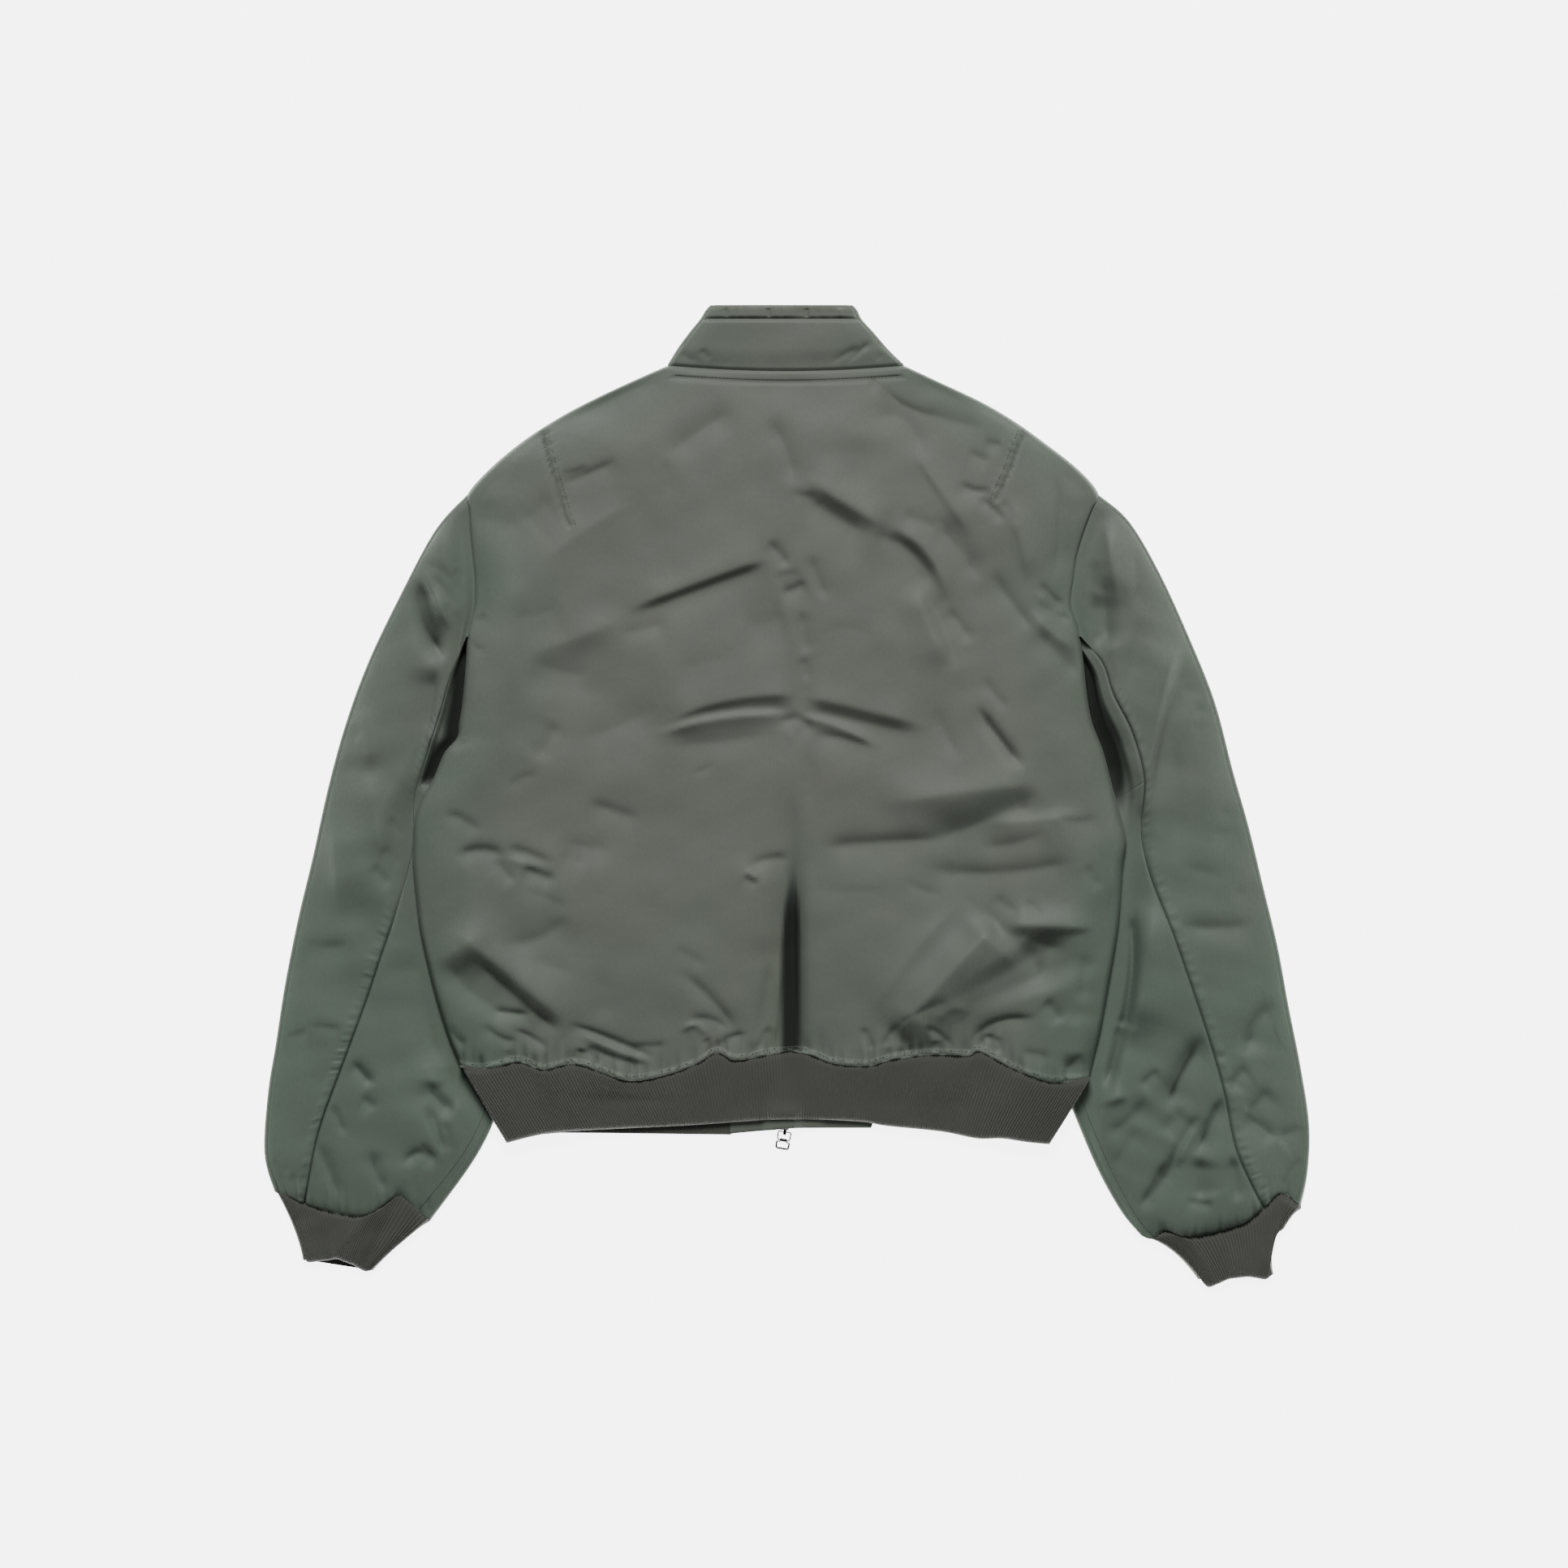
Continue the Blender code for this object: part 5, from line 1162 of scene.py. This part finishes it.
TOP_RING = np.array(
    stations(TOP, 1 - np.array((0, 0.004, 0.012, 0.024, 0.04, 0.06)))
    + stations(TOP, np.linspace(0.92, 0, 62) ** 1.25)
    + [(WHOLE, 0.0, turn) for turn in FOLD_TURNS]
    + stations(WHOLE, np.linspace(0.08, 0.92, 12), -90)
    + [(WHOLE, 1.0, turn) for turn in FOLD_TURNS[::-1]]
    + stations(FRONT, (1, 0.7, 0.4, 0.15, 0))
)
UNDER_SHARES = np.concatenate(((0, 0.01, 0.025), np.linspace(0.045, 0.96, 56), (0.985, 1)))
UNDER_RING = np.array(stations(UNDER, UNDER_SHARES))
SLEEVE_ROWS = np.concatenate((
    (SLEEVE_START, 0.0025, 0.004, 0.007), spaced(0.011, 0.97, 0.0042), spaced(0.974, 1, 0.004),
))
SLEEVE_PARTS = {
    "sleeve_top": (TOP_RING, SLEEVE_ROWS),
    "gusset": (UNDER_RING, np.append(SLEEVE_ROWS[SLEEVE_ROWS < GUSSET_END], GUSSET_LAST)),
    "sleeve_under": (UNDER_RING, np.append(UNDER_START, SLEEVE_ROWS[SLEEVE_ROWS > GUSSET_END])),
}


def sleeve_place(side, ring, station, v):
    kind, share, turn = ring[station.astype(int)].T
    w, width = across_sleeve(side, kind.astype(int), share, v), sleeve_width(side, v)
    plan, crest = partial(sleeve_plan, side), partial(sleeve_crest, side)
    x, y, z = tube_point(plan, crest, width, w, turn, v)
    tucked, crossing = v <= SLEEVE_START, (v == UNDER_START) & (z > 0)
    z = np.where(tucked & (z > UNDERLAP), z - UNDERLAP, z) - CROSS_DIP * crossing
    return x - side * UNDERLAP * tucked, y + UNDERLAP * crossing, z


for side in (LEFT, RIGHT):
    for part, (ring, rows) in SLEEVE_PARTS.items():
        place = partial(sleeve_place, side, ring)
        cloth(f"{part}_{LABEL[side]}_cloth", np.arange(len(ring)), rows, place, NYLON)

# %% [markdown]
# ## Cuffs
# Each cuff is a knitted tube that has been pressed flat askew. Part of its ribs run straight down
# and part run slantwise, and the two fans meet at a soft fold. So a table gives, for shares
# across the cuff, where a rib starts at the seam, where it bends and where it ends.

# %% Cuffs
# share across, then x and y at the seam, at the middle and at the free edge
CUFF_RIBS_AT = {
    LEFT: (
        (0.00, -454, -348, -435, -384, -428, -411), (0.10, -443, -353, -430, -385, -424, -413),
        (0.22, -427, -361, -419, -388, -416, -412), (0.34, -408, -369, -406, -391, -407, -411),
        (0.46, -391, -372, -395, -391, -400, -410), (0.54, -380, -373, -388, -392, -394, -412),
        (0.66, -361, -365, -374, -387, -386, -415), (0.80, -343, -352, -360, -383, -379, -419),
        (0.90, -330, -363, -349, -391, -374, -421), (1.00, -316, -376, -341, -393, -370, -420),
    ),
    RIGHT: (
        (0.00, 314, -390, 341, -402, 366, -428), (0.08, 326, -390, 350, -404, 370, -433),
        (0.17, 338, -386, 358, -408, 374, -435), (0.30, 356, -391, 371, -412, 382, -432),
        (0.42, 375, -389, 385, -411, 391, -428), (0.52, 390, -385, 396, -408, 398, -427),
        (0.64, 405, -379, 408, -404, 408, -426), (0.76, 420, -370, 421, -400, 416, -427),
        (0.88, 437, -354, 431, -394, 424, -428), (1.00, 456, -365, 432, -391, 429, -424),
    ),
}
CUFF_FOLD = {
    LEFT: (-378, -373, -389, -391, -403, -409, 4, 6, 1.8, 0.3, 0.1),
    RIGHT: (388, -388, 391, -404, 392, -423, 6, 5, 1.5, 0.3, 0.2),
}
CUFF_RIBS, CUFF_STEPS, CUFF_RIB_DEPTH, CUFF_LOFT = 46, 6, 1.4, 2.4
CUFF_WIDTH, CUFF_LENGTH = 130.0, 58.0
CUFF_ROWS = np.concatenate((
    (0.0,), spaced(0.003, 0.1, 0.02), spaced(0.15, 0.85, 0.06),
    1 - np.array((0.09, 0.055, 0.03, 0.012, 0.004, 0)),
))
CUFF_RING = np.array(
    [(w, 90) for w in np.linspace(0.012, 0.988, CUFF_RIBS * CUFF_STEPS + 1)]
    + [(1.0, turn) for turn in FOLD_TURNS] + [(w, -90) for w in np.linspace(0.92, 0.08, 14)]
    + [(0.0, turn) for turn in FOLD_TURNS[::-1]]
)


def cuff_piece(side):
    table = rounded(CUFF_RIBS_AT[side])

    def along_rib(w, v):
        columns = [at(table, w, column) for column in range(1, 7)]
        start, middle, end = np.reshape(columns, (3, 2, -1))
        bend = 2 * middle - (start + end) / 2
        return (1 - v) ** 2 * start + 2 * v * (1 - v) * bend + v * v * end

    def plan(w, v, up=True):
        (x, y), (x_a, y_a), (x_b, y_b) = [along_rib(place, v) for place in (w, 0 * w, 0 * w + 1)]
        return np.where(up, x, blend(x_a, x_b, w)), np.where(up, y, blend(y_a, y_b, w))

    def crest(w, v):
        x, y = plan(w, v)
        above_edge, below_seam = (1 - v) * CUFF_LENGTH, v * CUFF_LENGTH
        loft = swell(np.minimum(w, 1 - w) * CUFF_WIDTH / 26) * swell(above_edge / 16)
        wave = folds(x, y, (CUFF_FOLD[side],)) + 0.5 * ripple(x, y, 30, 50 + side)
        ribs = CUFF_RIB_DEPTH * (rib_wave(w, CUFF_RIBS) - 1)
        z = TUBE + CUFF_LOFT * loft + wave + ribs
        return roll_down(z, TUBE - KNIT, above_edge, 3.0) + seam_dip(below_seam, 1.6, 2.0)

    def place(station, v):
        w, turn = CUFF_RING[station.astype(int)].T
        x, y, z = tube_point(plan, crest, CUFF_WIDTH, w, turn, v)
        tucked = v == 0
        return x, y + 2 * UNDERLAP * tucked, np.where(tucked & (z > UNDERLAP), z - UNDERLAP, z)

    cloth(f"cuff_{LABEL[side]}_knit", np.arange(len(CUFF_RING)), CUFF_ROWS, place, RIB_KNIT)


for side in (LEFT, RIGHT):
    cuff_piece(side)

# %% [markdown]
# ## Collar
# The collar is one strip round the neck, folded flat with the jacket. A channel is stitched along
# its top, and the stitching puckers it. Below, it follows the front neck edge to the zip on each
# side.

# %% Collar
COLLAR_FOLDS = (
    (-96, 393, -88, 388, -80, 384, 3, 4, -1.8), (-78, 396, -73, 391, -69, 386, 3, 3, -1.6),
    (-57, 385, -54, 382, -50, 380, 3, 3, -1.2), (75, 404, 64, 394, 52, 384, 2.4, 3, -2.4),
    (65, 399, 51, 391, 36, 382, 2.2, 3, -1.8), (85, 392, 81, 388, 77, 385, 3, 4, -1.6),
    (-17, 433, -17, 428, -16, 424, 1.6, 1.6, -1.5, 0.2, 0.2),
    (17, 433, 17, 428, 17, 424, 1.6, 1.6, -1.5, 0.2, 0.2),
    (47, 433, 47, 428, 47, 424, 2.2, 2.2, 0.9, 0.2, 0.2),
    (-55, 433, -54, 428, -54, 424, 1.8, 1.8, -1.0, 0.2, 0.2),
)
COLLAR_TOP, COLLAR_PUFF, LAST_ROLL = COLLAR_ROWS[-1, 0], 3.4, 437.5


def collar_plan(w, y, up=True):
    above = y - NECK_Y
    seam = SEAM * (1 - smooth(above / 10))
    return blend(*sides(COLLAR_ROWS, y), w), y - neck_sag(w) * (1 - smooth(above / 40)) + seam


def collar_crest(w, y):
    x, y_here = collar_plan(w, y)
    left, right = sides(COLLAR_ROWS, y)
    puff = COLLAR_PUFF * dome(np.minimum(x - left, right - x) / 24)
    stitched = 1 - 0.75 * bell(y - COLLAR_STITCH, 1.7)
    up = swell((LAST_ROLL - y) / 7) * blend(0.25, 1.0, stitched)
    lively = folds(x, y_here, COLLAR_FOLDS) + 0.4 * ripple(x, y_here, 40, 61)
    lively += 0.8 * gathers(x, 11, 62) * bell(y - COLLAR_STITCH - 5, 6)
    lively += 0.5 * gathers(x, 8, 63) * bell(y - NECK_Y - 4, 6)
    body = back_top(np.clip(x, *NECK_ENDS), NECK_Y + 0 * x)
    z = blend(body, TUBE + (puff + lively) * up, smooth((y - NECK_Y) / 18))
    return z + seam_dip(y - NECK_Y, 1.2, 1.4)


COLLAR_RING = np.array(
    [(1, w, -90) for w in np.linspace(0.4999, 0, 22)]
    + [(0, 0.0, turn) for turn in FOLD_TURNS[5::-1]]
    + [(0, w, 90) for w in np.linspace(0.02, 0.98, 110)]
    + [(0, 1.0, turn) for turn in FOLD_TURNS[:6]]
    + [(1, w, -90) for w in np.linspace(1, 0.5001, 22)]
)


def collar_place(station, y):
    """The ring's first column is 1 where the strip lies below, along the front neck edge."""
    below, w, turn = COLLAR_RING[station.astype(int)].T
    left, right = sides(COLLAR_ROWS, y)
    width = right - left
    x, y_here, z = tube_point(collar_plan, collar_crest, width, w, turn, y)
    inset_w = TUBE / 2 / width
    near = np.clip(w, inset_w, 1 - inset_w)
    middle = FRONT_MIDDLE[1] + np.where(w < 0.5, -FRONT_EDGE_GAP, FRONT_EDGE_GAP) / 2
    right_half = blend(middle, right, (near - 0.5) / 0.5)
    low_x = np.where(w < 0.5, blend(left, middle, near / 0.5), right_half)
    top_y = collar_plan((low_x - left) / width, COLLAR_TOP + 0 * w)[1]
    low_y = blend(front_neck_y(low_x), top_y, (y - NECK_Y) / (COLLAR_TOP - NECK_Y))
    tucked = (y == NECK_Y) & (z > UNDERLAP)
    y_here, z = y_here - UNDERLAP * tucked, z - UNDERLAP / 2 * tucked
    return np.where(below, low_x, x), np.where(below, low_y, y_here), np.where(below, 0.0, z)


collar_rows = np.concatenate((
    spaced(NECK_Y, 390, 1.0), spaced(391.5, 418, 1.6), spaced(419, COLLAR_TOP, 0.75),
))
cloth("collar_cloth", np.arange(len(COLLAR_RING)), collar_rows, collar_place, NYLON)

# %% [markdown]
# ## Zip
# The tape is two woven strips under the front edges, and each carries a row of teeth. Every tooth
# is the same small block, so one is made and then placed along both rows in one mesh.

# %% Zip
TAPE_LOW, TAPE_HIGH, TAPE_FLAT, CORD_RISE = -284.0, 334.0, 0.1, 0.5
TOOTH_SIZE, TOOTH_BEVEL, TOOTH_PITCH, TOOTH_OFFSET, TOOTH_Z = (3.4, 1.3, 1.7), 0.3, 2.6, 1.3, 1.1


def tape_place(u, v):
    y = blend(TAPE_LOW, TAPE_HIGH, v)
    cord = CORD_RISE * (np.abs(u - 0.5) < 0.08)
    return zip_x(y) + (u - 0.5) * TAPE_WIDTH, y, TAPE_FLAT + cord


def scatter(name, shape, matrices, material):
    """One mesh with a copy of a small bmesh shape at each matrix."""
    one = mesh_from(shape, name + "_one")
    grown = bmesh.new()
    for _ in matrices:
        grown.from_mesh(one)
    data = mesh_from(grown, name)
    corners = np.c_[read(one), np.ones(len(one.vertices))]
    bpy.data.meshes.remove(one)
    moved = [corners @ np.array(matrix).T[:, :3] for matrix in matrices]
    write(data, np.concatenate(moved) - MIDDLE)
    return finish_piece(name, data, material)


def block(size, offset):
    """A cube of this size whose edges are cut off."""
    shape = bmesh.new()
    bmesh.ops.create_cube(shape, size=1.0)
    bmesh.ops.scale(shape, vec=size, verts=shape.verts)
    bmesh.ops.bevel(
        shape, geom=shape.edges[:], offset=offset,
        affect="EDGES", segments=1, profile=0.5, material=-1,
    )
    return shape


cloth("zip_tape_cloth", spaced(0, 1, 1 / 30), spaced(0, 1, 1 / 120), tape_place, TAPE)
teeth = [
    Matrix.Translation((float(zip_x(y)) + side * TOOTH_OFFSET, y, TOOTH_Z))
    for side in (LEFT, RIGHT)
    for y in np.arange(TAPE_LOW + 2 + side * TOOTH_PITCH / 4, TAPE_HIGH - 3, TOOTH_PITCH)
]
scatter("zip_teeth", block(TOOTH_SIZE, TOOTH_BEVEL), teeth, METAL)

# %% [markdown]
# ## Stitches
# A stitch is a short thread that sinks at both ends. Rows of them follow the seams at a constant
# pitch, laid on whichever surface is there, so the height comes from the same functions as the
# cloth.

# %% Stitches
STITCH_SIZE, STITCH_BEVEL, STITCH_PITCH, STITCH_PROUD = (2.3, 0.5, 0.42), 0.14, 3.2, 0.05
HEM_STITCH, DART_STITCH, NECK_STITCH = 4.6, 6.5, 7.6  # mm from the seam


def along_line(line):
    """Places at the stitches' pitch along a line of points, with the direction there."""
    line = np.array(line, float)
    gone = np.concatenate(([0], np.cumsum(np.hypot(*np.diff(line, axis=0).T))))
    marks = np.arange(STITCH_PITCH / 2, gone[-1], STITCH_PITCH)
    (x, y), (x_ahead, y_ahead) = [
        [np.interp(marks + ahead, gone, column) for column in line.T] for ahead in (0, 0.2)
    ]
    return x, y, np.arctan2(y_ahead - y, x_ahead - x)


def stitch_rows(name, rows, surface):
    matrices = []
    for x, y, turn in map(along_line, rows):
        z = surface(x, y) + STITCH_PROUD
        matrices += [
            Matrix.Translation(place) @ Matrix.Rotation(angle, 4, "Z")
            for *place, angle in zip(*(column.tolist() for column in (x, y, z, turn)))
        ]
    return scatter(name, block(STITCH_SIZE, STITCH_BEVEL), matrices, THREAD)


back_stitching = [
    [(x, float(hem_seam_y(x)) + HEM_STITCH) for x in np.linspace(-280, 257, 120)],
    [(x + DART_STITCH, y) for x, y in LEFT_DART],
    [(x - DART_STITCH, y) for x, y in RIGHT_DART],
    [(x, float(neck_seam_y(x)) - NECK_STITCH) for x in np.linspace(*NECK_ENDS, 50)],
]
stitch_rows("stitches_back", back_stitching, back_top)

# %% [markdown]
# ## Colour of the cloth
# Each vertex of a nylon piece gets a number for how green it looks. It rises toward the sides,
# down the sleeves and toward the hem: partly the yarns' own colour and partly a painted sheen,
# greener and darker where the cloth bends away. The painted shade that the cloth got from its
# creases is raised where hardly any light reaches, and where the cloth leans away from the collar
# and so from the light.

# %% Colour attribute
# strength of the painted shade on cloth that leans away from the light
LEAN_SHADE = 0.5


# partly painted sheen: greener and darker toward the sides, low down and on the sleeves
def green_at(x, y):
    left, right = sides(BACK_EDGES, y)
    sideways = 1 - smooth(np.minimum(x - left, right - x) / 110)
    low = smooth((40 - y) / 260)
    return np.clip(0.15 + 0.5 * sideways + 0.35 * low, 0, 1)


def deep_shade_at(piece, x, y, z):
    """Painted shade: 1 in the nearly shut fold up the back's middle and deep in the gap under the
    arm.
    """
    if piece is back:
        return smooth((14 - z) / 4) * smooth((12 - abs(x - 3)) / 7) * smooth((-30 - y) / 80)
    if piece.name.startswith(("gusset", "sleeve_under")):
        return smooth((TUBE - 0.5 - z) / 4)
    return 0 * z


def lean_shade_at(piece, x, y):
    """Painted shade on cloth that leans away from the collar and its light, not on the turned hem
    edge.
    """
    _, ahead, up = read(piece.data, "normal").T
    lean_shade = LEAN_SHADE * smooth((-ahead / np.maximum(up, 0.3) - 0.06) / 0.6) * (up > 0.2)
    return lean_shade * smooth((y - hem_seam_y(x) - 2) / 3) if piece is back else lean_shade


meshes = [obj for obj in bpy.data.objects if obj.type == "MESH"]
nylon_pieces = [obj for obj in meshes if NYLON.name in obj.data.materials]
# painted shade: creases, the deep folds and cloth leaning from the light all darken the colour
for piece in nylon_pieces:
    x, y, z = (read(piece.data) / MM + MIDDLE).T
    dark = np.empty(len(x), np.float32)
    piece.data.attributes["cavity"].data.foreach_get("value", dark)
    dark = np.maximum(dark, deep_shade_at(piece, x, y, z))
    paint(piece.data, "cavity", 1 - (1 - dark) * (1 - lean_shade_at(piece, x, y)))
    paint(piece.data, "green", green_at(x, y))
print(len(nylon_pieces), "nylon pieces painted")

# %% [markdown]
# ## The zip's pull
# The bail and the ring are the CAD model's own wire with its free stretches moved out a little.
# Where the wire turns in the slider's crown and in the ring's barrel it keeps its size, so both
# hinges still swing.

# %% Pull
WIRE_MORE, WIRE_EASE, ABOVE_TABLE = 0.28, 0.8, 0.04
PULL_HINGE, PULL_WAY = np.array((-1.893, -297.659, 0.0)), np.array((-0.1737, -0.9848, 0.0))


def thicker_wire(node, body, start, end):
    """The node's wire, moved out from start to end mm down the pull, but never below the table."""
    mesh = bmesh.new()
    mesh.from_mesh(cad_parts[node].data)
    bmesh.ops.remove_doubles(mesh, verts=mesh.verts, dist=1e-6)
    bmesh.ops.recalc_face_normals(mesh, faces=mesh.faces)
    data = mesh_from(mesh, f"{node}_wire")
    points, outward = read(data) / MM, read(data, "normal")
    along = (points - PULL_HINGE) @ PULL_WAY
    more = WIRE_MORE * smooth((along - start) / WIRE_EASE) * smooth((end - along) / WIRE_EASE)
    points = points + outward * more[:, None]
    points[:, 2] = np.maximum(points[:, 2], ABOVE_TABLE)
    write(data, points)
    return finish_piece(data.name, data, METAL, node, body=body)


thicker_wire("pull_bail", "bail", 0.9, 6.4)
thicker_wire("pull_ring", "ring", 9.1, 20.0)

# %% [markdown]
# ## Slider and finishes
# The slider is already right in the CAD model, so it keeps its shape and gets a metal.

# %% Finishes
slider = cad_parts["zip_slider"]
for index in range(len(slider.material_slots)):
    slider.material_slots[index].material = METAL


# %% [markdown]
# ## Table, light and camera
# A large soft light beyond the collar gives the folds a bright and a dark side. A weaker fill
# opens the shadows, and the pale table takes just enough of its own glow to stay near white.

# %% Stage
TABLE_SIZE, TABLE_DROP, TABLE_GLOW, AMBIENT = 14.0, 0.0004, 5.35, 0.1
WHITE, PALE = (1, 1, 1, 1), (0.9, 0.9, 0.9)
# name, place, width and length in metres, watts
SOFTBOXES = (
    ("key_softbox", (-0.6, 8.0, 7.8), (4.2, 4.2), 1390),
    ("fill_softbox", (0.6, -1.8, 2.4), (2.0, 2.0), 2),
    ("side_softbox", (3.2, -0.8, 2.0), (1.6, 2.0), 20),
)


def place_in_scene(name, data, place=(0, 0, 0)):
    obj = bpy.data.objects.new(name, data)
    obj.location = place
    bpy.context.scene.collection.objects.link(obj)
    return obj


def table_material():
    g = Graph("pale_table", PALE, 0.9, Emission_Color=WHITE, Emission_Strength=TABLE_GLOW)
    return g.link(Roughness=g.noise(60, 2) * 0.05 + 0.88)


table_shape = bmesh.new()
bmesh.ops.create_grid(table_shape, x_segments=1, y_segments=1, size=TABLE_SIZE)
table_data = mesh_from(table_shape, "table_top")
table_data.transform(Matrix.Translation((0, 0, -TABLE_DROP)))
table_data.materials.append(table_material())
place_in_scene("table_top", table_data)

for name, place, size, watts in SOFTBOXES:
    light = bpy.data.lights.new(name, "AREA")
    light.shape, light.energy = "RECTANGLE", watts
    light.size, light.size_y = size
    softbox = place_in_scene(name, light, place)
    softbox.rotation_euler = (-Vector(place)).to_track_quat("-Z", "Y").to_euler()
    print(f"{name}: {watts} W from {Vector(place).length:.1f} m")

world = bpy.data.worlds.new("studio")
bpy.context.scene.world = world
world.use_nodes = True
background = world.node_tree.nodes["Background"].inputs
background["Color"].default_value, background["Strength"].default_value = WHITE, AMBIENT

# %% Camera
CAMERA_PLACE, FRAME_WIDTH, SENSOR = (-0.00263, 0.01090, 6.0), 1.39104, 36.0
camera_data = bpy.data.cameras.new("camera")
camera_data.sensor_width = SENSOR
camera_data.lens = SENSOR * CAMERA_PLACE[2] / FRAME_WIDTH
camera_data.clip_end = 50
bpy.context.scene.camera = place_in_scene("camera", camera_data, CAMERA_PLACE)
print(f"camera: {camera_data.lens:.0f} mm lens")
